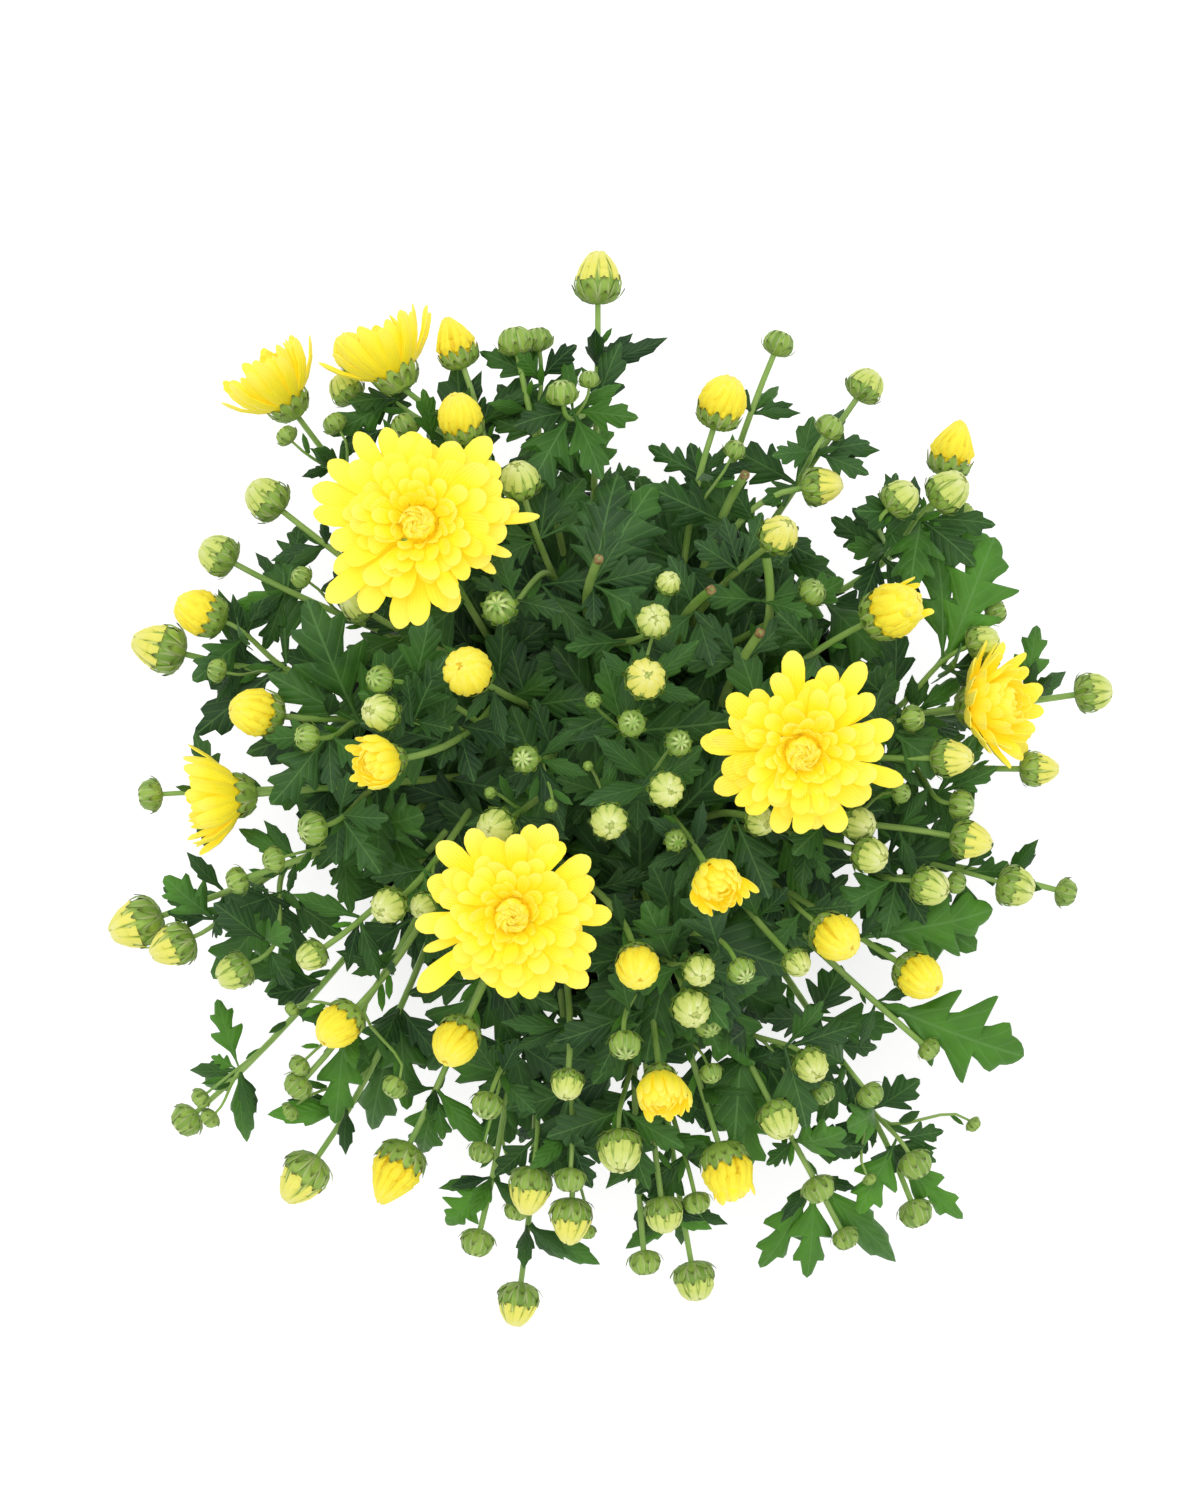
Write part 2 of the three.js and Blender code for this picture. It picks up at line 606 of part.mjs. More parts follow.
const DROPS = [4, 10, -3, 16, -9, 24];
function pixelOf(p) {
  const mm = pixelSize(p.z);
  return [PICTURE.middleX + p.x / mm, PICTURE.middleY - p.y / mm];
}

for (const leaf of LARGE_LEAVES) {
  let best = { away: Infinity };
  for (const plant of plants)
    for (const { joints } of plant.stems)
      for (let k = 0; k + 1 < joints.length; k++) {
        const root = joints[k].clone().lerp(joints[k + 1], 0.5);
        const [x, y] = pixelOf(root);
        const away = Math.hypot(x - leaf.fromX, y - leaf.fromY) - 0.15 * root.z;
        if (away < best.away) best = { away, plant, root };
      }
  const { plant, root } = best;
  const forms = DROPS.map((drop) => {
    const tip = seenAt(leaf.toX, leaf.toY, root.z - drop);
    const width = leaf.width * tip.distanceTo(root);
    return { root, tip, up: UP, width, arch: 0.1, outline: OUTLINES[leaf.outline] };
  });
  addLeaf(plant, forms);
}

let index = 0;
for (const plant of plants)
  for (const stem of plant.stems)
    for (let k = 0; k < stem.joints.length - 1; k++) {
      index++;
      if (stem.h.kind === "stub" && k > 2) continue;
      if (stem.joints[k].z < 135 || index % 5 > 1) continue;
      addLeaf(plant, TURNS.map((turnBy) => leafForm(stem, k, index, turnBy)));
    }

// The pot and its soil.
function potSolid() {
  const { height, rimRadius, footRadius, wall, floor, rimBand, sides } = POT;
  const shoulder = height - rimBand;
  const profile = [
    [0, 0], [16, 0], [18, 3], [footRadius - 8, 3], [footRadius - 6, 0], [footRadius, 0],
    [rimRadius - 6, shoulder], [rimRadius - 2, shoulder + 1], [rimRadius, height],
    [rimRadius - 3.4, height], [rimRadius - 6 - wall, shoulder], [footRadius - wall, floor], [0, floor],
  ];
  let pot = solid(turned(profile, sides));
  for (let i = 0; i < 6; i++) {
    const a = (i * 60 + 30) * degrees;
    const hole = new THREE.CylinderGeometry(5, 5, 3 * floor, 8).rotateX(Math.PI / 2);
    pot = pot.subtract(solid(hole.translate(36 * Math.cos(a), 36 * Math.sin(a), floor / 2)));
  }
  return pot;
}

function soilSolid() {
  const { rimRadius, footRadius, height, rimBand, wall, floor, sides } = POT;
  const shoulder = height - rimBand;
  const lean = (rimRadius - 6 - footRadius) / (shoulder - floor);
  const inside = (z) => footRadius - wall + lean * (z - floor) - 2 * GAP;
  const profile = [
    [0, floor + GAP], [inside(floor), floor + GAP], [inside(shoulder - 2), shoulder - 2],
    [60, SOIL.level + 1], [0, SOIL.level + SOIL.mound],
  ];
  let soil = solid(turned(profile, sides));
  for (const plant of plants) {
    const radius = CROWN.radius + 2 * GAP;
    const hole = new THREE.CylinderGeometry(radius, radius, 60, 6).rotateX(Math.PI / 2);
    const { x, y, z } = plant.root;
    soil = soil.subtract(solid(hole.translate(x, y, z - GAP + 30)));
  }
  return soil;
}

const COLOURS = {
  leafy_stem: [0x3f7a2c, 0.6],
  yellow_bud: [0xf4dc1c, 0.5],
  opening_flower: [0xf8e01a, 0.5],
  bloom: [0xfce620, 0.5],
};
const material = ([color, roughness]) => new THREE.MeshStandardMaterial({ color, roughness, metalness: 0 });

const group = new THREE.Group();
function add(name, manifold, look) {
  const mesh = new THREE.Mesh(geometryOf(manifold), material(look));
  mesh.name = name;
  group.add(mesh);
}
add("pot", potSolid(), [0x161618, 0.35]);
add("soil", soilSolid(), [0x2b1d14, 0.95]);
for (const [name, pieces] of Object.entries(nodes)) {
  const kind = Object.keys(COLOURS).find((k) => name.startsWith(k));
  add(name, wasm.Manifold.union(pieces.map((p) => p.piece)), COLOURS[kind]);
}

export default group;
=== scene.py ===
# A potted chrysanthemum. Each leafy stem, bud and flower is grown again over its solid by the rule
# that laid the solid out, with its fine shapes and its finish.
import math
import random
from types import SimpleNamespace

import bmesh
import bpy
import numpy as np
from mathutils import Matrix, Vector, kdtree, noise


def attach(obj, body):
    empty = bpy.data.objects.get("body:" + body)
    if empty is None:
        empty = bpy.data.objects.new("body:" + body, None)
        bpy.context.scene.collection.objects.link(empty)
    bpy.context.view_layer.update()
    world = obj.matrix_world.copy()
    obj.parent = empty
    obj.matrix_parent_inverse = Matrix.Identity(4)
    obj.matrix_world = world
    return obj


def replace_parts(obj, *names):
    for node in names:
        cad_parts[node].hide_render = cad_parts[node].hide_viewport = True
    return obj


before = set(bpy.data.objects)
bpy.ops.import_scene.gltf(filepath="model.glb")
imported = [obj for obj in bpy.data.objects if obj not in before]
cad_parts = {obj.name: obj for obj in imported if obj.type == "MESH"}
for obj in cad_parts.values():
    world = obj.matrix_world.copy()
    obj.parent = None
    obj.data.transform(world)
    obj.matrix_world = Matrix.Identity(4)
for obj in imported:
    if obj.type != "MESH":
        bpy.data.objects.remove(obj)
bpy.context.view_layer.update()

# Driving dimensions of the growth, in mm, as in the model's source
GAP = 0.3
POT_HEIGHT, RIM_RADIUS, FOOT_RADIUS, POT_WALL, POT_FLOOR, RIM_BAND = 126, 89, 60, 2, 5, 17
SOIL_LEVEL, SOIL_MOUND, HOLE_DEPTH = 111, 3, 22
CROWN_TOP, CROWN_SPREAD, CROWN_RADIUS = 152, 36, 3
SHOOT_RADIUS, BRANCH_RADIUS, STUB_RADIUS, TWIG_RADIUS = 1.5, 1.15, 1.6, 0.7
INTERNODE = 36
LEAF_LENGTH = 38
GOLDEN_ANGLE = 137.5
DOME_TOP, DOME_FALL, DOME_REACH, DOME_POWER = 256, 88, 500, 1.7
LEAN_MIDDLE, LEAN_MOST, LEAN_REACH, LEAN_POWER = 8, 84, 430, 1.6
PICTURE_X, PICTURE_Y, EYE_HEIGHT, CANOPY_HEIGHT, MM_PER_PIXEL = 600, 750, 1000, 240, 0.3
PLANT_X, PLANT_Y = 600, 765
SHOULDER, SHOULDER_RADIUS = POT_HEIGHT - RIM_BAND, RIM_RADIUS - 6
UP = Vector((0, 0, 1))
SIDE_HINT = Vector((1, 0.2, 0.1))
FULL_TURN = 2 * math.pi


# Heads: the kind, the pixel that each is seen at, its size in pixels, and how it leans
def head(kind, **always):
    return lambda x, y, size, **more: SimpleNamespace(kind=kind, x=x, y=y, size=size, more={**always, **more})


green, pale, yellow, opening, bloom = (head(kind) for kind in ("green", "pale", "yellow", "opening", "bloom"))
ripe, pointed, loose = head("pale", ripe=True), head("yellow", pointed=True), head("yellow", loose=True)


# A pruned stem's cut end, and the pixel that the stem comes from
def stub(x, y, from_x, from_y):
    turn = math.degrees(math.atan2(from_y - y, x - from_x))
    return head("stub")(x, y, 11, lean=42, lift=-18, turn=turn)


LEAFY_STEMS = {
    "north": ([-4, 34], [
        [ripe(598, 281, 45), green(562, 392, 31)],
        [green(515, 340, 36), green(538, 339, 29, lift=-6)],
        [pale(519, 478, 40, lift=-10), green(499, 607, 33, lean=15, lift=-12)],
        [pale(654, 620, 34, lean=12)],
        [stub(600, 556, 570, 620)],
    ], [green(589, 379, 21)]),
    "northeast": ([24, 26], [
        [yellow(723, 401, 47)],
        [green(779, 343, 31)],
        [pale(867, 384, 36), green(831, 426, 30)],
        [ripe(821, 486, 38, lift=-16, lean=80, turn=5)],
        [ripe(780, 533, 38, lean=30)],
        [pointed(953, 449, 46, turn=75, lean=84, lift=-10), pale(902, 497, 37),
         pale(949, 490, 41, lift=6, lean=60)],
        [green(814, 591, 28, lift=-22)],
        [stub(747, 472, 700, 540)], [stub(714, 588, 670, 615)], [stub(766, 550, 745, 610)],
    ], [green(735, 449, 22, lift=-10), green(966, 513, 25, lift=-14)]),
    "east": ([36, 3], [
        [bloom(802, 750, 197, lean=14, turn=-100, lift=8)],
        [loose(894, 610, 54, turn=25)],
        [opening(994, 703, 94, lean=52, turn=8), pale(983, 642, 33, lift=-4)],
        [pale(1094, 692, 38)],
        [ripe(950, 758, 37), green(914, 718, 27, lift=-12)],
        [ripe(1037, 769, 34, turn=0), green(962, 805, 30, lift=-8)],
        [stub(762, 630, 720, 690)],
    ], [green(996, 611, 26, lift=-8)]),
    "southeast": ([27, -24], [
        [ripe(970, 840, 38)],
        [green(1067, 893, 28), pale(1017, 887, 40), pale(931, 887, 38, lift=-4)],
        [pale(872, 856, 36, lift=-4), pale(860, 824, 34, lift=-14)],
        [pale(761, 821, 30, lift=-14)],
        [yellow(920, 977, 44, lean=50), yellow(837, 938, 46, lean=42)],
        [pale(798, 964, 28, lift=-6)],
        [green(930, 1050, 24)],
        [green(916, 1214, 34, turn=-70), green(916, 1165, 34, turn=-60), green(871, 1096, 29, lift=-6)],
    ], [green(902, 793, 21, lift=-12), green(957, 883, 23, lift=-9), green(974, 1125, 16),
        green(870, 1180, 14)]),
    "south": ([10, -36], [
        [pale(692, 1010, 38, lean=20), green(709, 1026, 28, lift=-8), pale(700, 972, 32, lean=20),
         green(742, 972, 28)],
        [pale(780, 1121, 40, lean=60), pale(812, 1066, 34, lean=35)],
        [green(846, 1239, 27), green(819, 1190, 33)],
        [loose(728, 1173, 50)],
        [pale(695, 1282, 40), green(697, 1204, 28, lift=-5)],
        [opening(661, 1089, 64, lean=48, turn=-85), green(625, 1046, 32)],
        [pale(664, 1216, 38)],
        [green(645, 1264, 32), pale(620, 1153, 44, lean=55)],
    ], [green(823, 1094, 26, lift=-6), green(802, 1106, 23, lift=-8), green(711, 1074, 23, lift=-10)]),
    "southwest": ([-20, -31], [
        [yellow(638, 968, 43, lean=30)],
        [ripe(571, 1219, 41), green(570, 1181, 31)],
        [ripe(518, 1303, 40), ripe(530, 1188, 42, lift=-2)],
        [green(477, 1243, 33), green(487, 1106, 32)],
        [pale(567, 1086, 32)],
        [pointed(395, 1173, 52)],
        [yellow(455, 1043, 45)],
        [bloom(513, 914, 196, lean=6, turn=-90, lift=4)],
    ], [green(587, 1232, 18, lift=-5), green(516, 1212, 25, lift=-10), green(481, 1153, 26)]),
    "west": ([-35, -8], [
        [yellow(338, 1026, 43)],
        [ripe(304, 1176, 46)],
        [green(186, 1121, 33)],
        [green(297, 1087, 30)],
        [ripe(138, 924, 50), ripe(174, 945, 42, lift=3), pale(234, 972, 36)],
        [green(236, 881, 28)],
        [opening(221, 797, 84, lean=80), green(149, 795, 32), green(311, 829, 33)],
        [pale(311, 956, 30, lift=-4)],
        [pale(387, 907, 35, lean=25)],
    ], [green(291, 1010, 16, lift=-8), green(394, 1088, 26, lift=-4), green(200, 1099, 21),
        green(209, 1119, 21), green(289, 1113, 20), green(299, 1066, 22), green(273, 860, 26),
        pale(422, 907, 27, lift=-8)]),
    "northwest": ([-28, 22], [
        [bloom(420, 525, 205, lean=5, turn=120, lift=8)],
        [opening(277, 388, 84, lean=74, turn=126)],
        [opening(388, 357, 86), yellow(352, 352, 37, lift=-9, turn=125), pale(345, 388, 33, lift=-16)],
        [pointed(455, 343, 42, turn=110), green(405, 425, 30, lift=-22)],
        [yellow(460, 417, 44, turn=105, lift=-6)],
        [pale(266, 498, 42)],
        [pale(217, 554, 40)],
        [ripe(162, 648, 47), yellow(199, 612, 45)],
        [yellow(255, 712, 47), green(306, 737, 28)],
        [opening(382, 762, 62, lean=50, turn=190), pale(379, 712, 37, lean=30), green(379, 679, 28, lean=30)],
        [pale(356, 604, 33, lift=-16)],
    ], [green(286, 435, 22, lift=-6), green(334, 423, 24, lift=-12), green(301, 577, 23, lift=-8),
        green(216, 670, 24)]),
    "centre": ([2, 2], [
        [yellow(467, 671, 48, lean=16)],
        [ripe(646, 678, 40, lean=8)],
        [green(632, 723, 27, lift=-8)],
        [pale(667, 790, 35, lean=10)],
        [pale(609, 822, 36, lean=10, lift=-4)],
        [green(525, 759, 27, lift=-12)],
        [opening(716, 881, 64, lean=32, turn=-60)],
        [pale(495, 828, 38, lift=-12)],
    ], [green(593, 700, 16, lift=-12), green(679, 743, 26, lift=-12), green(588, 766, 10, lift=-22),
        green(551, 806, 13, lift=-16), green(676, 841, 22, lift=-16), green(490, 793, 12, lift=-22),
        pale(669, 582, 24, lift=-8)]),
}


# The leaves that stand out at the edge: form, root and tip pixels, and width as a share of length
def leaf_shape(form, usual_width):
    return lambda *ends, width=usual_width: SimpleNamespace(form=form, start=ends[:2], end=ends[2:],
                                                            width=width)


lobed, cleft, lance = leaf_shape("lobed", 0.62), leaf_shape("cleft", 0.5), leaf_shape("lance", 0.3)
LARGE_LEAVES = [
    lobed(885, 600, 872, 512), lobed(983, 625, 995, 537), lobed(935, 1040, 1024, 1056),
    lobed(850, 935, 993, 909), lobed(505, 1150, 447, 1225), lobed(325, 590, 300, 525),
    lobed(420, 1020, 352, 1082), cleft(420, 1040, 372, 1130, width=0.42), cleft(925, 605, 935, 548),
    cleft(1005, 665, 1037, 625), cleft(930, 655, 974, 615), cleft(905, 1170, 963, 1219, width=0.36),
    cleft(275, 1027, 217, 999), cleft(280, 1030, 211, 1056), cleft(285, 1045, 205, 1085),
    cleft(343, 1055, 335, 1124), cleft(435, 1035, 407, 1110), cleft(437, 1060, 443, 1140),
    cleft(430, 1070, 423, 1153, width=0.62), cleft(370, 815, 298, 783), cleft(265, 880, 214, 918),
    cleft(305, 600, 264, 650), cleft(640, 470, 603, 419), lance(855, 1220, 896, 1262),
    cleft(835, 1210, 807, 1278, width=0.48), cleft(800, 1165, 760, 1268, width=0.44),
    lance(300, 805, 284, 757), lance(570, 420, 622, 384), lance(552, 405, 566, 352),
    lance(730, 435, 779, 386),
]

# Leaves that hang over the pot's rim where the plant is thin
RIM_LEAVES = [
    lobed(560, 520, 548, 462), cleft(575, 545, 622, 500), lobed(600, 520, 640, 470),
    cleft(640, 545, 672, 492), lobed(610, 560, 590, 500), cleft(660, 530, 708, 505),
    lobed(690, 540, 730, 500), cleft(585, 500, 566, 446), cleft(715, 560, 762, 512),
    lobed(540, 540, 520, 492), cleft(655, 500, 648, 446), cleft(700, 520, 690, 462),
    lobed(740, 580, 778, 560), cleft(630, 560, 655, 520), lobed(600, 560, 618, 474),
    lobed(640, 565, 600, 480), cleft(650, 565, 638, 476, width=0.7), lobed(630, 580, 655, 484),
    cleft(570, 545, 585, 478, width=0.7),
]

# The outermost petals of the three blooms: where each points in degrees, and its reach
BLOOM_EDGES = {
    "bloom_1": [
        (97, .51), (72, .45), (55, .54), (37, .45), (17, .47), (-1, .41), (-19, .54), (-38, .42),
        (-66, .47), (-80, .42), (-107, .45), (-132, .39), (-151, .49), (178, .51), (171, .48),
        (152, .40), (130, .39),
    ],
    "bloom_2": [
        (77, .46), (65, .49), (37, .48), (24, .44), (11, .42), (-1, .5), (-14, .36), (-24, .45),
        (-42, .44), (-48, .53), (-66, .44), (-82, .4), (-95, .43), (-124, .42), (-142, .62),
        (-155, .49), (-174, .5), (165, .43), (158, .46), (147, .4), (134, .52), (118, .48), (100, .38),
    ],
    "bloom_3": [
        (127, .55), (113, .52), (98, .45), (82, .4), (67, .44), (51, .54), (40, .48), (23, .42),
        (11, .485), (3, .58), (-6, .42), (-19, .47), (-30, .43), (-68, .45), (-89, .49), (-103, .51),
        (-126, .5), (-140, .58), (-154, .47), (-168, .44), (175, .53), (159, .57), (147, .55),
    ],
}
THIN_PETALS = {"bloom_3": (3, -19, -30), "bloom_2": (-155,)}


# A scatter between 0 and 1 that is always the same for the same two numbers, as in the model's source
def jitter(a, b):
    s = math.sin(a * 12.9898 + b * 78.233) * 43758.5453
    return s - math.floor(s)


def pixel_size(z):
    return MM_PER_PIXEL * (EYE_HEIGHT - z) / (EYE_HEIGHT - CANOPY_HEIGHT)


def seen_at(x, y, z):
    mm = pixel_size(z)
    return Vector(((x - PICTURE_X) * mm, (PICTURE_Y - y) * mm, z))


def pixel_of(p):
    mm = pixel_size(p.z)
    return PICTURE_X + p.x / mm, PICTURE_Y - p.y / mm


# Each head's place, axis and neck
NECK = {"stub": 0.3, "green": 0.42, "pale": 0.5, "yellow": 0.62, "opening": 0.42, "bloom": 0.06}


def place_head(h):
    across, along = h.x - PLANT_X, PLANT_Y - h.y
    away = math.hypot(across, along)
    z = DOME_TOP - DOME_FALL * (away / DOME_REACH) ** DOME_POWER + h.more.get("lift", 0)
    leaning = LEAN_MIDDLE + (LEAN_MOST - LEAN_MIDDLE) * min(1, (away / LEAN_REACH) ** LEAN_POWER)
    lean = math.radians(h.more.get("lean", leaning))
    turn = math.radians(h.more["turn"]) if "turn" in h.more else math.atan2(along, across)
    h.axis = Vector((math.sin(lean) * math.cos(turn), math.sin(lean) * math.sin(turn), math.cos(lean)))
    h.centre = seen_at(h.x, h.y, z)
    h.diameter = h.size * pixel_size(z)
    h.neck = h.centre - h.axis * (NECK[h.kind] * h.diameter)
    return h


# The solids' own vertices tell which way each stem went and where each leaf found room. A finder counts
# the points that have a vertex within this distance
FOUND_WITHIN = 0.05


def vertex_finder(node):
    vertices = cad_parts[node].data.vertices
    tree = kdtree.KDTree(len(vertices))
    for i, v in enumerate(vertices):
        tree.insert(v.co * 1000, i)
    tree.balance()
    return lambda points: sum(tree.find(p)[2] < FOUND_WITHIN for p in points)


def bezier(a, b, c, d, t):
    u = 1 - t
    return a * (u * u * u) + b * (3 * u * u * t) + c * (3 * u * t * t) + d * (t * t * t)


def bezier_heading(a, b, c, d, t):
    u = 1 - t
    return ((b - a) * (u * u) + (c - b) * (2 * u * t) + (d - c) * (t * t)).normalized()


# The ways round that a stem can take: how far it is bent aside, and how long it keeps its heading
WAYS = [(bend, hold) for bend in (0, 8, -8, 16, -16, 25, -25, 35, -35) for hold in (0.38, 0.5, 0.26)]
NECK_HOLD, NECK_BEND = 0.34, 0.6


def stem_curve(start, heading, h, bend, hold, reach):
    sideways = (h.neck - start).cross(UP).normalized() * bend
    return (start, start + heading * (reach * hold) + sideways,
            h.neck - h.axis * (reach * NECK_HOLD) + sideways * NECK_BEND, h.neck)


# The corners of the solid stem's rings between its two ends
def ring_points(joints, headings, radius):
    u = SIDE_HINT
    points = []
    for point, heading in zip(joints, headings):
        u = (u - heading * u.dot(heading)).normalized()
        v = heading.cross(u)
        points.append([point + u * radius, point + v * radius, point - u * radius, point - v * radius])
    return [p for ring in points[1:-1] for p in ring]


def grow_stem(plant, start, heading, h, radius):
    reach = (h.neck - start).length
    steps = max(2, round(reach / INTERNODE))
    best = None
    for bend, hold in WAYS if plant.finds else WAYS[:1]:
        curve = stem_curve(start, heading, h, bend, hold, reach)
        joints = [bezier(*curve, i / steps) for i in range(steps + 1)]
        headings = [bezier_heading(*curve, i / steps) for i in range(steps + 1)]
        found = plant.finds(ring_points(joints, headings, radius)) / (4 * (steps - 1)) if plant.finds else 1
        if best is None or found > best.found:
            best = SimpleNamespace(h=h, curve=curve, joints=joints, headings=headings, radius=radius,
                                   found=found, reach=reach)
        if found == 1:
            break
    plant.stems.append(best)
    return best


def nearest_joint(stem, goal):
    places = stem.joints[1:-1]
    nearest = min(range(len(places)), key=lambda k: (places[k] - goal).length)
    return places[nearest], stem.headings[nearest + 1]


# One rooted cutting. The shoot that stays nearest the middle leaves the crown at its top, and the
# others below it, the farthest lowest. A shoot's first head ends its stem, and the others end branches
OUTWARD_START, CROWN_END, BRANCH_BACK = 1.2, 1.5, 36


def grow_plant(name, root, shoots):
    plant = SimpleNamespace(name=f"leafy_stem_{name}", stems=[], leaves=[], side=[])
    plant.root = Vector((*root, SOIL_LEVEL - HOLE_DEPTH))
    plant.top = Vector((*root, CROWN_TOP))
    plant.finds = vertex_finder(plant.name)
    placed = [[place_head(h) for h in shoot] for shoot in shoots]
    plant.heads = [h for shoot in placed for h in shoot]
    placed.sort(key=lambda s: -math.hypot(s[0].neck.x - root[0], s[0].neck.y - root[1]))
    for i, (last, *others) in enumerate(placed):
        share = (i + 1) / len(placed)
        outwards = ((last.neck - plant.top) * Vector((1, 1, 0))).normalized()
        height = CROWN_TOP - CROWN_END - CROWN_SPREAD * (1 - share)
        start = Vector((*root, height)) + outwards * OUTWARD_START
        heading = (UP + outwards * (0.9 - 0.6 * share)).normalized()
        radius = STUB_RADIUS if last.kind == "stub" else SHOOT_RADIUS
        shoot = grow_stem(plant, start, heading, last, radius)
        for h in others:
            grow_stem(plant, *nearest_joint(shoot, h.neck - h.axis * BRANCH_BACK), h, BRANCH_RADIUS)
    plant.main = list(plant.stems)
    return plant


# The small side buds each leave the stem that passes nearest below them
TWIG_BACK, TWIG_DROP = 22, 6


def grow_side_buds(plant, side_buds):
    plant.finds = None
    for h in side_buds:
        place_head(h)
        goal = h.neck - h.axis * TWIG_BACK - UP * TWIG_DROP
        spots = [(s, k / 8) for s in plant.main if s.h.kind != "stub" for k in range(3, 8)]
        stem, t = min(spots, key=lambda spot: (bezier(*spot[0].curve, spot[1]) - goal).length)
        grow_stem(plant, bezier(*stem.curve, t), bezier_heading(*stem.curve, t), h, TWIG_RADIUS)


# Leaves: each stretch of stem has one, turned about it as the solid's is where the solid has one
TURNS = (0, 50, -50, 100, -100, 160)
DROPS = (4, 10, -3, 16, -9, 24)
HALF_BLADE = 0.35
BROAD, NARROW, HIGH_ON_STEM, SHORT_LEAF = 0.62, 0.34, 0.75, 20
LOWEST_LEAF, CROWN_LEAVES = 120, 12


def leaf_sides(leaf):
    along = leaf.tip - leaf.root
    side = UP.cross(along).normalized()
    return along, side, along.cross(side).normalized()


def finds_leaf(plant, leaf):
    face = leaf_sides(leaf)[2]
    return plant.finds([leaf.tip + face * HALF_BLADE, leaf.tip - face * HALF_BLADE]) == 2


def rule_leaf(stem, k, index, turn_by):
    root = (stem.joints[k] + stem.joints[k + 1]) / 2
    heading = (stem.joints[k + 1] - stem.joints[k]).normalized()
    share = (k + 0.5) / (len(stem.joints) - 1)
    u = SIDE_HINT.cross(heading).normalized()
    v = heading.cross(u)
    around = math.radians(GOLDEN_ANGLE * index + turn_by)
    way = u * math.cos(around) + v * math.sin(around) + heading * 0.4
    way.z = way.z * 0.45 + 0.12
    length = LEAF_LENGTH * (1.2 - 0.6 * share) * (0.8 + 0.4 * jitter(index, 3))
    form, width = ("lance", NARROW) if share > HIGH_ON_STEM or length < SHORT_LEAF else ("cleft", BROAD)
    return SimpleNamespace(root=root, tip=root + way.normalized() * length, width=length * width, form=form)


# The smaller leaves between, which fill the plant's middle
def smaller_leaf(leaf, index):
    size = 0.55 + 0.3 * jitter(index, leaf.tip.x)
    tip = leaf.root.lerp(leaf.tip, size) + UP * 3 * (jitter(index, leaf.tip.y) - 0.5)
    width = leaf.width * size * (0.8 + 0.3 * jitter(leaf.tip.z, index))
    return SimpleNamespace(root=leaf.root, tip=tip, width=width, form="small_" + leaf.form)


# The leaves low on a cutting's crown, one above the other
def crown_leaf(plant, i):
    turn = math.radians(GOLDEN_ANGLE * i + 40 * plant.root.x)
    z = SOIL_LEVEL + 12 + 2.8 * i
    out = Vector((math.cos(turn), math.sin(turn), 0.35 + 0.2 * jitter(i, plant.root.y)))
    length = 32 + 24 * jitter(plant.root.x, i)
    root = Vector((plant.root.x, plant.root.y, z)) + out * 2
    return SimpleNamespace(root=root, tip=root + out * length, width=length * 0.56, form="small_cleft")


# A large leaf grows from the stretch of stem that is seen nearest its root
def leaf_out_of(plants, leaf):
    def away(place):
        x, y = pixel_of(place[1])
        return math.hypot(x - leaf.start[0], y - leaf.start[1]) - 0.15 * place[1].z

    places = [(plant, (a + b) / 2) for plant in plants for stem in plant.main
              for a, b in zip(stem.joints, stem.joints[1:])]
    plant, root = min(places, key=away)
    tips = [seen_at(*leaf.end, root.z - drop) for drop in DROPS]
    forms = [SimpleNamespace(root=root, tip=tip, width=leaf.width * (tip - root).length, form=leaf.form)
             for tip in tips]
    found = [f for f in forms if finds_leaf(plant, f)]
    plant.leaves.append((found or forms)[0])


def grow_leaves(plants):
    for leaf in LARGE_LEAVES + RIM_LEAVES:
        leaf_out_of(plants, leaf)
    index = 0
    for plant in plants:
        for stem in plant.main:
            for k in range(len(stem.joints) - 1):
                index += 1
                if stem.joints[k].z < LOWEST_LEAF or (stem.h.kind == "stub" and k > 2):
                    continue
                forms = [rule_leaf(stem, k, index, turn) for turn in TURNS]
                found = [f for f in forms if finds_leaf(plant, f)]
                plant.leaves += found[:1]
                if stem.h.kind != "stub" or k < 2:
                    plant.side += [smaller_leaf(f, index) for f in forms[1:4]]
        plant.side += [crown_leaf(plant, i) for i in range(CROWN_LEAVES)]


# Small shapes that are repeated: each is made once, and its copies are bent into place
SHAPES = {}
POINTS = {}
ANY_ANGLE = 4.0


def smooth_faces(bm, sharp_from=ANY_ANGLE):
    for f in bm.faces:
        f.smooth = True
    for e in bm.edges:
        e.smooth = e.calc_face_angle(0) < sharp_from


def keep_shape(name, bm, material=None, sharp_from=0.9):
    if material is not None:
        for f in bm.faces:
            f.material_index = material
    smooth_faces(bm, sharp_from)
    bm.verts.layers.float.new("tone")
    mesh = bpy.data.meshes.new(name)
    bm.to_mesh(mesh)
    bm.free()
    SHAPES[name] = mesh
    POINTS[name] = np.array([v.co for v in mesh.vertices], float)


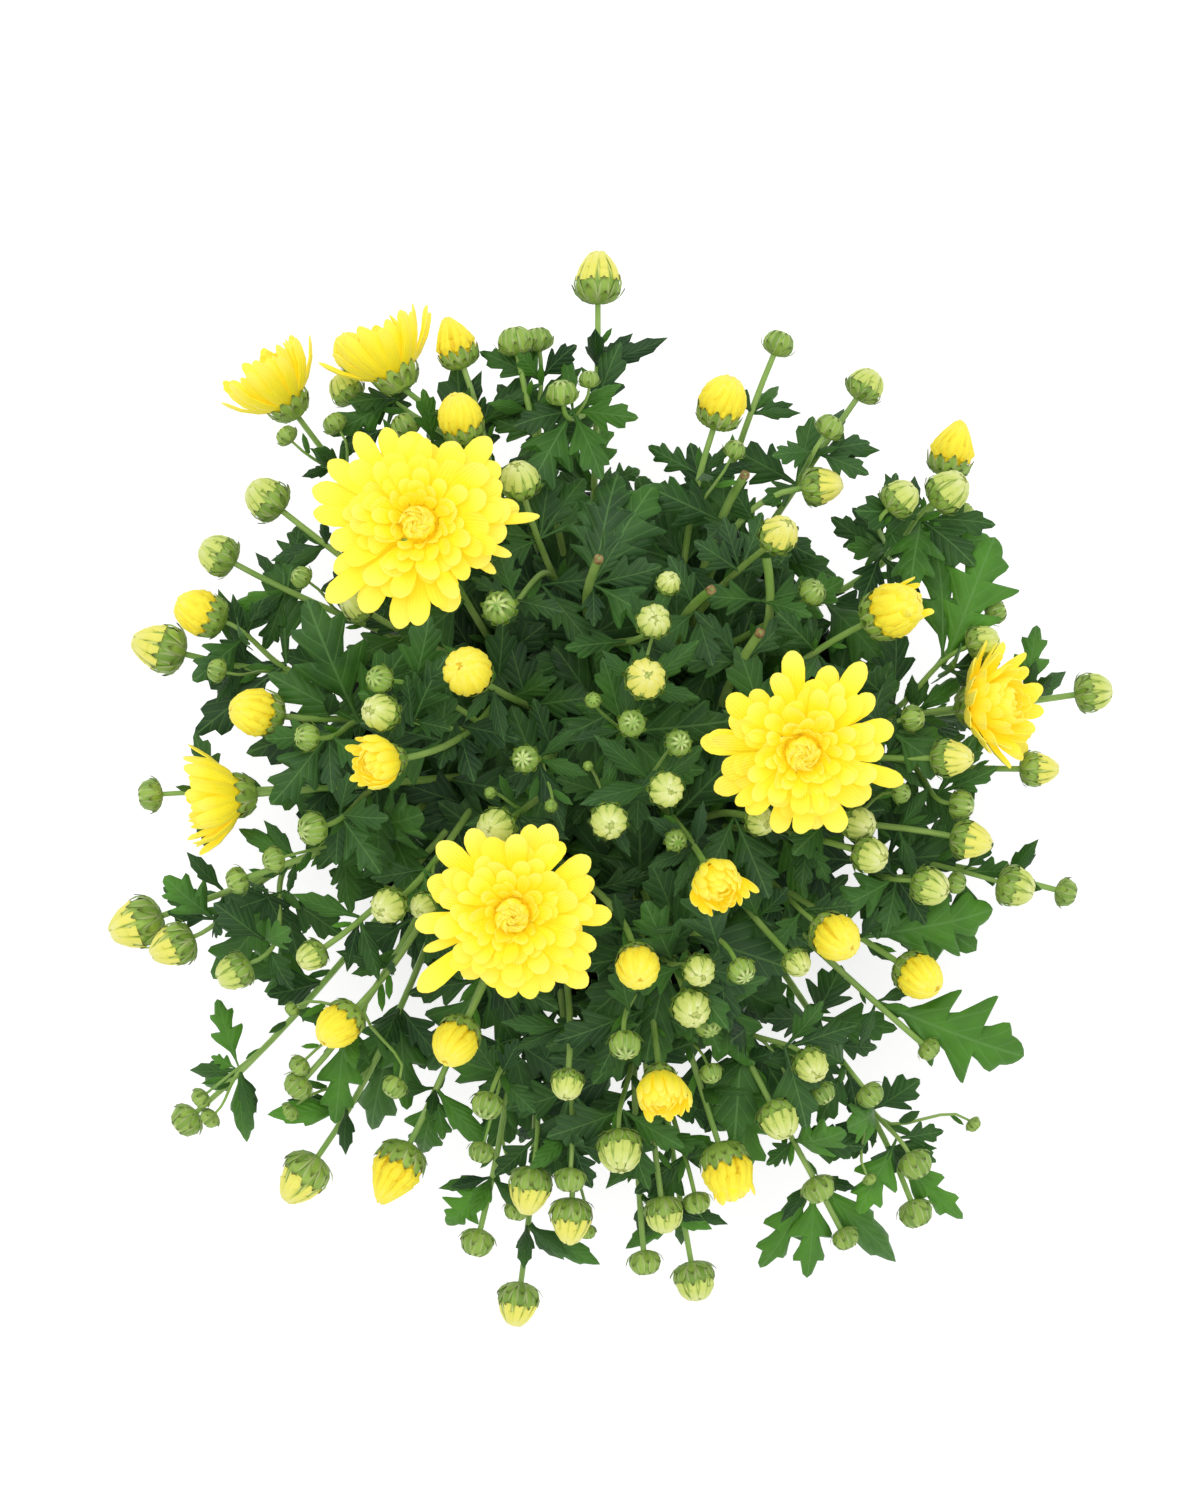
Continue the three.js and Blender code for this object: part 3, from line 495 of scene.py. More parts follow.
# A thin blade along X. Each row is where its middle and its edge lie, and its half width
def blade_shape(name, rows, across, thickness, puff, material, under=None):
    bm = bmesh.new()
    uv = bm.loops.layers.uv.new("UVMap")
    bmesh.ops.create_grid(bm, x_segments=len(rows) - 1, y_segments=across, size=1, calc_uvs=True)
    for v in bm.verts:
        middle, edge, half = rows[round((v.co.x + 1) / 2 * (len(rows) - 1))]
        w = v.co.y
        rise = 1 - (2 * abs(w) - 1) ** 2 - abs(w)
        v.co = (middle + (edge - middle) * abs(w), half * w, puff * half * rise)
    bmesh.ops.remove_doubles(bm, verts=bm.verts, dist=1e-5)
    for f in bm.faces:
        for loop in f.loops:
            loop[uv].uv = (loop.vert.co.x, 0.5 + loop.vert.co.y)
    bmesh.ops.solidify(bm, geom=bm.faces[:], thickness=thickness)
    bmesh.ops.recalc_face_normals(bm, faces=bm.faces[:])
    for f in bm.faces:
        below = f.normal.z < 0 and under is not None
        f.material_index = under if below else material
    keep_shape(name, bm)


# A turned body with rounded lobes, from a profile of (radius, height) that starts and ends on the axis
def turned_shape(name, profile, lobes, depth, material):
    segments = 4 * lobes
    rows = len(profile) - 1
    bm = bmesh.new()
    bm.loops.layers.uv.new("UVMap")
    bmesh.ops.create_uvsphere(bm, u_segments=segments, v_segments=rows, radius=1, calc_uvs=True)
    for v in bm.verts:
        k = rows - round(math.acos(max(-1, min(1, v.co.z))) / math.pi * rows)
        radius, height = profile[k]
        angle = math.atan2(v.co.y, v.co.x)
        radius *= 1 - depth * (1 - abs(math.sin(lobes * angle / 2)))
        v.co = (radius * math.cos(angle), radius * math.sin(angle), height)
    bmesh.ops.recalc_face_normals(bm, faces=bm.faces[:])
    keep_shape(name, bm, material, ANY_ANGLE)


# A stem of unit length and radius, with shallow ribs
def stem_shape(name, rungs, sides, rib, material):
    bm = bmesh.new()
    bm.loops.layers.uv.new("UVMap")
    bmesh.ops.create_cone(bm, cap_ends=True, segments=sides, radius1=1, radius2=1, depth=1, calc_uvs=True)
    upright = [e for e in bm.edges if abs(e.verts[0].co.z - e.verts[1].co.z) > 0.5]
    bmesh.ops.subdivide_edges(bm, edges=upright, cuts=rungs - 1, use_grid_fill=True)
    bmesh.ops.translate(bm, vec=(0, 0, 0.5), verts=bm.verts)
    for v in bm.verts:
        column = round(math.atan2(v.co.y, v.co.x) / FULL_TURN * sides)
        v.co.xy *= 1 - rib * (column % 2)
    keep_shape(name, bm, material)


# Adds a copy of a shape to a mesh, its points laid out by the given function
def lay(bm, name, where, tone=0.5):
    first = len(bm.verts)
    bm.from_mesh(SHAPES[name])
    bm.verts.ensure_lookup_table()
    layer = bm.verts.layers.float["tone"]
    for v, p in zip(bm.verts[first:], where(POINTS[name])):
        v.co = p
        v[layer] = tone


def start_mesh():
    bm = bmesh.new()
    bm.loops.layers.uv.new("UVMap")
    bm.verts.layers.float.new("tone")
    return bm


def place_mesh(bm, name):
    mesh = bpy.data.meshes.new(name)
    bm.to_mesh(mesh)
    bm.free()
    placed = bpy.data.objects.new(name, mesh)
    bpy.context.scene.collection.objects.link(placed)
    return placed


# A piece of the model, from a mesh in mm
def finish_piece(bm, name, materials):
    bmesh.ops.scale(bm, vec=(0.001, 0.001, 0.001), verts=bm.verts)
    piece = place_mesh(bm, name)
    for material in materials:
        piece.data.materials.append(material)
    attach(piece, "root")
    return piece


# Ways to lay a shape out. The first stands it on an axis, and may narrow it towards its top
TAPER_FROM = 0.45


def on_axis(place, axis, size, spin=0.0, stretch=1.0, taper=0.0):
    rotate = np.array(UP.rotation_difference(axis).to_matrix() @ Matrix.Rotation(spin, 3, "Z"))
    at = np.array(place)

    def where(p):
        narrow = 1 - taper * np.clip(p[:, 2:] - TAPER_FROM, 0, 1)
        return (p * size * np.hstack([narrow, narrow, np.full_like(narrow, stretch)])) @ rotate.T + at

    return where


# Along a stem's curve, from one radius to another, with each ring carried on from the one before
def along_curve(curve, start_radius, end_radius, share=1.0):
    u = SIDE_HINT

    def where(p):
        nonlocal u
        result = np.zeros_like(p)
        for t in sorted(set(np.round(p[:, 2], 4))):
            heading = bezier_heading(*curve, t)
            u = (u - heading * u.dot(heading)).normalized()
            v = heading.cross(u)
            rows = np.abs(p[:, 2] - t) < 1e-3
            q = p[rows]
            r = share * (start_radius + (end_radius - start_radius) * t)
            ring_at = q[:, :1] * np.array(u) + q[:, 1:2] * np.array(v)
            result[rows] = np.array(bezier(*curve, t)) + r * ring_at
        return result

    return where


# As a leaf from its root to its tip: arched along its length, rolled over, and drooping at its edges
def as_leaf(leaf, arch, roll, droop):
    along, side, face = leaf_sides(leaf)
    length = along.length
    root, along, side, face = (np.array(x) for x in (leaf.root, along, side, face))

    def where(p):
        s, q, n = p[:, :1], p[:, 1:2], p[:, 2:3]
        angle = roll * s
        across = side * np.cos(angle) + face * np.sin(angle)
        over = face * np.cos(angle) - side * np.sin(angle)
        sag = droop * length * (np.abs(q) * leaf.width / length) ** 2
        lift = arch * length * 4 * s * (1 - s) + length * n - sag
        return root + along * s + across * q * leaf.width + over * lift

    return where


# Bends a blade out of a flower: it leaves at a radius and height, rises by one angle at its root
# and another at its tip, and is as wide as given. Its sides are cupped up
CURL_STEPS, CURL_POWER = 24, 1.4


def as_petal(flower, at, angle, length, width, rise, cup=0.5, sway=0.0, twist=0.0):
    radius, height = at
    first, last = (math.radians(a) for a in rise)
    steps = np.linspace(0, 1, CURL_STEPS + 1)
    angles = first + (last - first) * steps ** CURL_POWER
    outs = np.concatenate([[0], np.cumsum(np.cos(angles[:-1]) / CURL_STEPS)]) * length
    ups = np.concatenate([[0], np.cumsum(np.sin(angles[:-1]) / CURL_STEPS)]) * length

    def where(p):
        u, a, n = p[:, 0], p[:, 1] * width, p[:, 2] * length
        n = n + cup * a * a / width + twist * a * u
        slope = np.interp(u, steps, angles)
        out = radius + np.interp(u, steps, outs) - np.sin(slope) * n
        up = height + np.interp(u, steps, ups) + np.cos(slope) * n
        side = a + sway * length * u * u
        x = out * math.cos(angle) - side * math.sin(angle)
        y = out * math.sin(angle) + side * math.cos(angle)
        return flower(np.stack([x, y, up], 1))

    return where


# Lays a blade against a turned body, from one share of its profile to another
NEARBY = 0.02


def against(body, profile, start, end, angle, width, lift=0.0, flare=0.0, bulge=0.0, twist=0.0):
    line = np.array(profile, float)
    lengths = np.concatenate([[0], np.cumsum(np.hypot(*np.diff(line, axis=0).T))])
    lengths /= lengths[-1]

    def where(p):
        u = p[:, 0]
        at = start + (end - start) * u
        r = np.interp(at, lengths, line[:, 0])
        h = np.interp(at, lengths, line[:, 1])
        dr, dh = (np.interp(at + NEARBY, lengths, c) - np.interp(at - NEARBY, lengths, c) for c in line.T)
        size = np.hypot(dr, dh) + 1e-9
        swelling = bulge * (1 - 4 * p[:, 1] ** 2) * np.minimum(1, 5 * (1.02 - u))
        n = p[:, 2] * width + lift + flare * u * u + swelling
        turn = angle + twist * u + p[:, 1] * width / np.maximum(r, width * 0.7)
        out = r + n * dh / size
        return body(np.stack([out * np.cos(turn), out * np.sin(turn), h - n * dr / size], 1))

    return where


# Profiles, as shares of the head's size from its neck up: (radius, height)
GREEN_BUD = [
    (0, -0.03), (0.13, 0), (0.3, 0.05), (0.43, 0.14), (0.5, 0.29), (0.49, 0.45), (0.43, 0.58),
    (0.34, 0.69), (0.23, 0.76), (0.11, 0.78), (0, 0.74),
]
PALE_BUD = [
    (0, -0.03), (0.12, 0), (0.29, 0.04), (0.43, 0.14), (0.5, 0.29), (0.48, 0.42), (0.46, 0.54),
    (0.42, 0.66), (0.34, 0.78), (0.23, 0.88), (0.11, 0.94), (0, 0.92),
]
YELLOW_CUP = [
    (0, -0.02), (0.1, 0), (0.22, 0.04), (0.35, 0.11), (0.42, 0.2), (0.42, 0.29), (0, 0.3),
]
YELLOW_WRAP = [
    (0, -0.02), (0.1, 0), (0.22, 0.04), (0.35, 0.11), (0.42, 0.2), (0.435, 0.3), (0.46, 0.4),
    (0.485, 0.5), (0.5, 0.62),
]
OPENING_WRAP = [
    (0, -0.02), (0.05, 0), (0.12, 0.03), (0.19, 0.09), (0.22, 0.16), (0.235, 0.24), (0.25, 0.34),
]
YELLOW_BUD = [
    (0, 0.31), (0.3, 0.31), (0.4, 0.36), (0.46, 0.48), (0.48, 0.59), (0.455, 0.73), (0.385, 0.88),
    (0.28, 1.01), (0.165, 1.1), (0.075, 1.14), (0, 1.11),
]
OPENING_CUP = [
    (0, -0.02), (0.05, 0), (0.12, 0.03), (0.19, 0.09), (0.22, 0.16), (0.2, 0.2), (0, 0.2),
]
BLOOM_CUP = [
    (0, -0.04), (0.02, -0.03), (0.06, -0.01), (0.1, 0.02), (0.12, 0.05), (0, 0.06),
]
BLOOM_HUB = [
    (0, 0.04), (0.1, 0.045), (0.12, 0.06), (0.1, 0.085), (0.075, 0.12), (0.05, 0.145), (0.02, 0.155),
    (0, 0.153),
]
CUT_END = [
    (0, -1.2), (1.02, -1), (1.08, -0.4), (1.04, 0.1), (0.8, 0.2), (0.5, 0.02), (0, -0.05),
]
OPENING_HUB = [
    (0, 0.2), (0.17, 0.205), (0.2, 0.24), (0.19, 0.34), (0.16, 0.46), (0.11, 0.54), (0.05, 0.57),
    (0, 0.56),
]

# Blade rows: where the middle and the edge lie along the blade, and the half width
LOBED_ROWS = [
    (0, 0, .022), (.1, .1, .03), (.17, .19, .06), (.21, .27, .15), (.25, .35, .27), (.29, .41, .36),
    (.32, .455, .41), (.345, .475, .42), (.37, .475, .39), (.395, .455, .31), (.415, .435, .22),
    (.435, .43, .16), (.47, .5, .21), (.51, .58, .33), (.545, .645, .43), (.575, .69, .48),
    (.6, .71, .48), (.62, .705, .43), (.645, .68, .31), (.665, .66, .21), (.69, .665, .16),
    (.73, .72, .19), (.78, .79, .26), (.82, .835, .275), (.85, .855, .23), (.88, .875, .165),
    (.91, .915, .15), (.95, .955, .115), (.98, .985, .06), (1, 1, 0),
]
CLEFT_ROWS = [
    (0, 0, .025), (.14, .14, .03), (.24, .26, .08), (.31, .36, .22), (.37, .46, .37), (.43, .54, .45),
    (.47, .585, .44), (.51, .575, .3), (.55, .56, .17), (.62, .66, .23), (.7, .77, .33),
    (.755, .825, .32), (.8, .815, .18), (.87, .89, .14), (.95, .96, .1), (1, 1, 0),
]
LANCE_ROWS = [
    (0, 0, .06), (.16, .16, .1), (.3, .32, .28), (.41, .46, .44), (.48, .55, .48), (.54, .58, .36),
    (.66, .7, .37), (.74, .79, .34), (.8, .82, .24), (.92, .93, .12), (1, 1, 0),
]
SMALL_CLEFT_ROWS = [
    (0, 0, .03), (.22, .24, .07), (.33, .42, .32), (.41, .54, .46), (.47, .57, .4), (.54, .56, .2),
    (.66, .73, .32), (.75, .82, .29), (.82, .83, .15), (.94, .95, .09), (1, 1, 0),
]
SMALL_LANCE_ROWS = [
    (0, 0, .06), (.2, .2, .12), (.36, .4, .4), (.46, .53, .48), (.54, .57, .35), (.7, .75, .36),
    (.8, .82, .22), (1, 1, 0),
]
BRACT_ROWS = [(0, 0, .25), (.35, .35, .45), (.7, .7, .4), (1, 1, 0)]
SCALE_ROWS = [(0, 0, .4), (.35, .33, .5), (.7, .66, .42), (1, .94, .12)]
PETAL_ROWS = [
    (0, 0, .16), (.3, .3, .27), (.55, .55, .43), (.76, .75, .5), (.88, .86, .47), (.955, .925, .37),
    (1, .975, .2),
]
FINGER_ROWS = [(0, 0, .4), (.3, .3, .5), (.62, .62, .5), (.84, .83, .47), (.95, .93, .36), (1, .975, .2)]

# The numbers of the finishes on the green pieces, and on the yellow ones
STEM, LEAF, UNDERSIDE, BUD, DOME, SCALE, TIP, RIPE, CUT = range(9)
PETAL, CORE, FOLDED = range(3)


# Each blade's rows, strips across, thickness, puff, and its finish above and, if it has one, below
BLADES = {
    "lobed": (LOBED_ROWS, 4, 0.009, 0.16, LEAF, UNDERSIDE),
    "cleft": (CLEFT_ROWS, 4, 0.01, 0.16, LEAF, UNDERSIDE),
    "lance": (LANCE_ROWS, 4, 0.012, 0.16, LEAF, UNDERSIDE),
    "small_cleft": (SMALL_CLEFT_ROWS, 2, 0.012, 0.2, LEAF, UNDERSIDE),
    "small_lance": (SMALL_LANCE_ROWS, 2, 0.014, 0.2, LEAF, UNDERSIDE),
    "bract": (BRACT_ROWS, 2, 0.03, 0.2, LEAF),
    "scale": (SCALE_ROWS, 2, 0.02, 0, SCALE),
    "petal": (PETAL_ROWS, 3, 0.014, 0.05, PETAL),
    "finger": (FINGER_ROWS, 3, 0.018, 0, PETAL),
    "folded": (FINGER_ROWS, 4, 0.02, 0, FOLDED),
    "tip": (FINGER_ROWS[1:], 2, 0.04, 0, TIP),
    "ripe_tip": (FINGER_ROWS[1:], 2, 0.04, 0, RIPE),
}

# Each turned body's profile, lobes, how deep they are cut, and its finish
TURNED_BODIES = {
    "green_bud": (GREEN_BUD, 8, 0.2, BUD),
    "pale_bud": (PALE_BUD, 7, 0.05, DOME),
    "yellow_cup": (YELLOW_CUP, 5, 0.03, BUD),
    "opening_cup": (OPENING_CUP, 5, 0.03, BUD),
    "bloom_cup": (BLOOM_CUP, 5, 0.03, BUD),
    "yellow_core": (YELLOW_BUD, 6, 0.04, CORE),
    "opening_hub": (OPENING_HUB, 5, 0.04, CORE),
    "bloom_hub": (BLOOM_HUB, 5, 0.04, CORE),
    "cut_end": (CUT_END, 4, 0.12, CUT),
}

# Each stem's rungs, sides, and how deep its ribs are
RODS = {"stem": (14, 10, 0.14), "twig": (6, 6, 0.1), "crown": (8, 14, 0.1)}


def make_shapes():
    for name, values in BLADES.items():
        blade_shape(name, *values)
    for name, values in TURNED_BODIES.items():
        turned_shape(name, *values)
    for name, values in RODS.items():
        stem_shape(name, *values, STEM)


# A shader value that changes over the surface. Each step of arithmetic on it is one node
class Field:
    def __init__(self, socket):
        self.socket = socket

    def maths(self, operation, *others):
        return Field(add(self.socket.id_data, "Math", self, *others, operation=operation).outputs[0])

    def __add__(self, other):
        return self.maths("ADD", other)

    def __sub__(self, other):
        return self.maths("SUBTRACT", other)

    def __mul__(self, other):
        return self.maths("MULTIPLY", other)

    def __abs__(self):
        return self.maths("ABSOLUTE")

    def between(self, low, high, to_low=0.0, to_high=1.0):
        return Field(add(self.socket.id_data, "MapRange", self, low, high, to_low, to_high).outputs[0])

    def blend(self, a, b):
        node = add(self.socket.id_data, "Mix", self, data_type="RGBA")
        put(node.inputs[6], a)
        put(node.inputs[7], b)
        return Field(node.outputs[2])


def put(socket, value):
    if isinstance(value, Field):
        socket.id_data.links.new(value.socket, socket)
    else:
        socket.default_value = (*value, 1) if socket.type == "RGBA" else value


def add(tree, kind, *inputs, **settings):
    node = tree.nodes.new("ShaderNode" + kind)
    for name, value in settings.items():
        setattr(node, name, value)
    for socket, value in zip(node.inputs, inputs):
        put(socket, value)
    return node


def noise_at(place, scale, detail=3.0):
    node = add(place.socket.id_data, "TexNoise", place)
    put(node.inputs["Scale"], scale)
    put(node.inputs["Detail"], detail)
    return Field(node.outputs["Fac"])


def parts_of(place):
    return [Field(s) for s in add(place.socket.id_data, "SeparateXYZ", place).outputs]


def body_place(tree):
    return Field(add(tree, "TexCoord").outputs["Object"])


def own_place(tree):
    return Field(add(tree, "UVMap", uv_map="UVMap").outputs[0])


def tone_of(tree):
    return Field(add(tree, "Attribute", attribute_name="tone").outputs["Fac"])


def shader_group(name, inputs, build):
    tree = bpy.data.node_groups.new(name, "ShaderNodeTree")
    for label, (kind, default) in inputs.items():
        socket = tree.interface.new_socket(label, in_out="INPUT", socket_type="NodeSocket" + kind)
        socket.default_value = default
    source = tree.nodes.new("NodeGroupInput")
    results = build(tree, {s.name: Field(s) for s in source.outputs})
    for label in results:
        tree.interface.new_socket(label, in_out="OUTPUT", socket_type="NodeSocketFloat")
    sink = tree.nodes.new("NodeGroupOutput")
    for label, value in results.items():
        put(sink.inputs[label], value)
    return tree


def use(tree, group, **inputs):
    node = tree.nodes.new("ShaderNodeGroup")
    node.node_tree = group
    for name, value in inputs.items():
        put(node.inputs[name.capitalize()], value)
    return {s.name: Field(s) for s in node.outputs}


# Mottling over a surface, and the fine grain that goes with it
def mottle(tree, given):
    place = body_place(tree)
    return {"Shade": noise_at(place, given["Scale"]).between(0.3, 0.7),
            "Grain": noise_at(place, given["Scale"] * GRAIN_FINENESS, 2.0)}


# A midrib with veins that run forward from it to the edge
def veins(tree, given):
    along, across, _ = parts_of(given["Place"])
    aside = abs(across - 0.5)
    midrib = aside.between(given["Width"] * 0.5, given["Width"], 1.0, 0.0)
    forward = along - aside * given["Slant"]
    offset = abs((forward * given["Count"]).maths("FRACT") - 0.5)
    side_veins = offset.between(0.03, 0.1, 1.0, 0.0)
    return {"Lines": midrib.maths("MAXIMUM", side_veins * 0.6), "Swell": offset * 2.0}


# Fine lines that run along a blade, waving a little
def streaks(tree, given):
    along, across, _ = parts_of(given["Place"])
    swaying = across + noise_at(given["Place"], 4.0, 1.0) * given["Sway"]
    wave = (swaying * (given["Count"] * FULL_TURN)).maths("SINE")
    return {"Wave": wave.between(-1.0, 1.0), "Along": along, "Across": across}


GRAIN_FINENESS = 9.0
PLACE = ("Vector", (0, 0, 0))
MOTTLE = shader_group("mottle", {"Scale": ("Float", 60.0)}, mottle)
VEINS = shader_group("leaf veins", {"Place": PLACE, "Width": ("Float", 0.02), "Slant": ("Float", 0.9),
                                    "Count": ("Float", 7.0)}, veins)
STREAKS = shader_group("streaks", {"Place": PLACE, "Count": ("Float", 8.0), "Sway": ("Float", 0.1)}, streaks)


# A material from the colour, the height and, if it varies, the roughness that the build function lays.
# The relief is the bump's strength and depth in metres. The last argument is a painted glow: how much the own
# colour shines as emission, standing in for light through thin petals and lifting their shaded sides
def new_material(name, roughness, relief, build, settings=None, painted_glow=0):
    material = bpy.data.materials.new(name)
    material.use_nodes = True
    tree = material.node_tree
    surface = tree.nodes["Principled BSDF"].inputs
    colour, height, *varied = build(tree)
    put(surface["Base Color"], colour)
    put(surface["Roughness"], varied[0] if varied else roughness)
    for label, value in (settings or {}).items():
        put(surface[label], value)
    # Painted glow: the surface shines in its own colour, standing in for light through thin petals
    if painted_glow:
        put(surface["Emission Color"], colour)
        put(surface["Emission Strength"], painted_glow)
    bump = add(tree, "Bump")
    for label, value in zip(("Strength", "Distance", "Height"), (*relief, height)):
        put(bump.inputs[label], value)
    put(surface["Normal"], Field(bump.outputs["Normal"]))
    return material


# A material mottled from a dark to a light colour, with an optional painted glow in that colour
def mottled_material(name, roughness, relief, scale, dark, light, settings=None, painted_glow=0):
    def build(tree):
        spots = use(tree, MOTTLE, scale=scale)
        return spots["Shade"].blend(dark, light), spots["Grain"]
    return new_material(name, roughness, relief, build, settings, painted_glow)


def leaf_material(name, roughness, deep, light, vein, greyed):
    def build(tree):
        lines = use(tree, VEINS, place=own_place(tree))
        spots = use(tree, MOTTLE, scale=90.0)
        haze = use(tree, MOTTLE, scale=24.0)["Shade"]
        share = tone_of(tree) + spots["Shade"].between(0, 1, -0.12, 0.12)
        colour = haze.between(0.3, 1.0, 0, 0.6).blend(share.blend(deep, light), greyed)
        colour = (lines["Lines"] * 0.4).blend(colour, vein)
        return colour, lines["Swell"] * 0.5 + spots["Grain"] * 0.3 - lines["Lines"] * 0.3
    return new_material(name, roughness, (0.5, 0.0006), build, {"Specular IOR Level": 0.28})


# Green skin, which turns woody towards the crown
def stem_material():
    def build(tree):
        spots = use(tree, MOTTLE, scale=70.0)
        green_skin = spots["Shade"].blend((0.2, 0.4, 0.055), (0.38, 0.58, 0.14))
        return tone_of(tree).blend((0.075, 0.075, 0.028), green_skin), spots["Grain"]
    return new_material("stem_skin", 0.5, (0.3, 0.0003), build)


BUD_GREENS = (0.17, 0.34, 0.03), (0.34, 0.54, 0.075)


# Pale rays on top of a green bud, one on each of its lobes
def bud_material():
    def build(tree):
        along, across, _ = parts_of(own_place(tree))
        spots = use(tree, MOTTLE, scale=300.0)
        ray = (along * (8 * FULL_TURN)).maths("COSINE")
        pale_share = across.between(0.6, 0.8) * ray.between(0.6, -0.5)
        pale_share = pale_share * (tone_of(tree) * spots["Shade"].between(0, 0.6))
        colour = pale_share.blend(spots["Shade"].blend(*BUD_GREENS), (0.72, 0.78, 0.36))
        return colour, ray + spots["Grain"]
    return new_material("bud_skin", 0.5, (0.3, 0.0002), build)


# Folded petals, drawn as fine lines that wind round a bud's top
def dome_material():
    def build(tree):
        along, across, _ = parts_of(own_place(tree))
        spots = use(tree, MOTTLE, scale=350.0)
        ray = ((along + across * 0.06) * (26 * FULL_TURN)).maths("COSINE")
        petals = ray.between(-0.9, 0.5).blend((0.25, 0.38, 0.04), (0.7, 0.74, 0.2))
        colour = across.between(0.42, 0.58).blend(spots["Shade"].blend(*BUD_GREENS), petals)
        return colour, ray + spots["Grain"]
    return new_material("bud_dome", 0.5, (0.35, 0.0003), build)


# Green scales with pale edges and dark tips
def scale_material():
    def build(tree):
        lines = use(tree, STREAKS, place=own_place(tree), count=3.0)
        skin = tone_of(tree).blend((0.12, 0.25, 0.022), (0.35, 0.54, 0.08))
        margin = abs(lines["Across"] - 0.5).between(0.22, 0.42) * 0.7
        dark = lines["Along"].between(0.78, 0.97) * 0.85
        return dark.blend(margin.blend(skin, (0.5, 0.56, 0.26)), (0.06, 0.05, 0.012)), lines["Wave"]
    return new_material("bud_scale", 0.55, (0.4, 0.0002), build)


# Petals that are deeper at the root, in part a painted shade where they crowd together, lighter at the tip,
# darkened to the deep colour at the edges as painted shade in the creases between them, and given a painted
# glow
def petal_material(name, deep, full, tip, painted_glow, painted_crease_shade):
    def build(tree):
        lines = use(tree, STREAKS, place=own_place(tree), count=7.0)
        spots = use(tree, MOTTLE, scale=110.0)
        tone = tone_of(tree)
        # Painted shade, partly the petal's own colour: the deep colour towards the root, less of it on the
        # lightest copies
        root = lines["Along"].between(0.0, 0.45, 0.8, 0) * tone.between(0.5, 1.0, 1, 0.25)
        colour = root.blend(full, deep)
        colour = (lines["Along"].between(0.6, 1.0) * tone).blend(colour, tip)
        colour = spots["Shade"].between(0, 1, 0, 0.15).blend(colour, deep)
        colour = lines["Wave"].between(0, 1, 0.12, 0).blend(colour, deep)
        # Painted shade in the creases between petals: the edges darken to the deep colour
        edge = abs(lines["Across"] - 0.5)
        return edge.between(0.3, 0.48, 0, painted_crease_shade).blend(colour, deep), lines["Wave"]
    return new_material(name, 0.5, (0.35, 0.0003), build,
                        {"Specular IOR Level": 0.25, "Sheen Weight": 0.1}, painted_glow)


# Black plastic, dusty all over and splashed near its foot
def plastic_material():
    def build(tree):
        spots = use(tree, MOTTLE, scale=45.0)
        dust = use(tree, MOTTLE, scale=12.0)["Shade"]
        height = parts_of(body_place(tree))[2]
        veil = height.between(0.0, 0.03, 0.35, 0.0) + dust * 0.12
        colour = veil.blend((0.006, 0.006, 0.007), (0.045, 0.038, 0.03))
        return colour, spots["Grain"], spots["Shade"].between(0, 1, 0.28, 0.42)
    return new_material("moulded_plastic", 0.35, (0.12, 0.0004), build, {"Specular IOR Level": 0.38})


def soil_material():
    def build(tree):
        spots = use(tree, MOTTLE, scale=160.0)
        damp = use(tree, MOTTLE, scale=25.0)["Shade"].between(0, 1, 0, 0.4)
        colour = spots["Shade"].blend((0.012, 0.007, 0.004), (0.06, 0.032, 0.016))
        return damp.blend(colour, (0.018, 0.01, 0.006)), spots["Grain"]
    return new_material("potting_soil", 0.92, (1.0, 0.002), build)


# Turns an open profile of (radius, height) once round the upright axis
def spin_round(bm, profile, steps):
    line = [bm.verts.new((r, 0, z)) for r, z in profile]
    edges = [bm.edges.new(pair) for pair in zip(line, line[1:])]
    bmesh.ops.spin(bm, geom=line + edges, cent=(0, 0, 0), axis=(0, 0, 1), angle=FULL_TURN,
                   steps=steps, use_merge=True)
    bmesh.ops.remove_doubles(bm, verts=bm.verts, dist=1e-3)
    bmesh.ops.recalc_face_normals(bm, faces=bm.faces[:])


# The pot's outer wall at a height, and a rib that runs round it from there up
def pot_wall(z, out=0):
    return FOOT_RADIUS + (SHOULDER_RADIUS - FOOT_RADIUS) / SHOULDER * z + out, z


def rib_from(z):
    return [pot_wall(z), pot_wall(z + 1, 0.5), pot_wall(z + 3, 0.5), pot_wall(z + 4)]


def pot_profile():
    under = [(0, 0.6), (15, 0.6), (16, 0), (17, 0.2), (18, 3), (FOOT_RADIUS - 8, 3), (FOOT_RADIUS - 6.4, 0.2),
             (FOOT_RADIUS - 6, 0), (FOOT_RADIUS - 0.8, 0), (FOOT_RADIUS - 0.1, 0.4)]
    band = [(SHOULDER_RADIUS, SHOULDER), (RIM_RADIUS - 2.4, SHOULDER + 0.3), (RIM_RADIUS - 2, SHOULDER + 1)]
    lip = [(RIM_RADIUS + out, POT_HEIGHT - down) for out, down in
           [(-0.3, 2.5), (0.3, 1.6), (0.3, 0.6), (-0.4, 0), (-2.6, 0), (-3.4, 0.7)]]
    inside = [(SHOULDER_RADIUS - POT_WALL, SHOULDER), (FOOT_RADIUS - POT_WALL, POT_FLOOR + 1),
              (FOOT_RADIUS - POT_WALL - 2, POT_FLOOR), (0, POT_FLOOR)]
    return under + rib_from(6) + rib_from(SHOULDER - 16) + band + lip + inside


# The drainage holes' number, radius, distance from the middle, and the depth and height of the cut, in metres
DRAINS, DRAIN_RADIUS, DRAIN_CIRCLE, DRAIN_CUT, DRAIN_HEIGHT = 6, 0.005, 0.036, 0.015, 0.0025


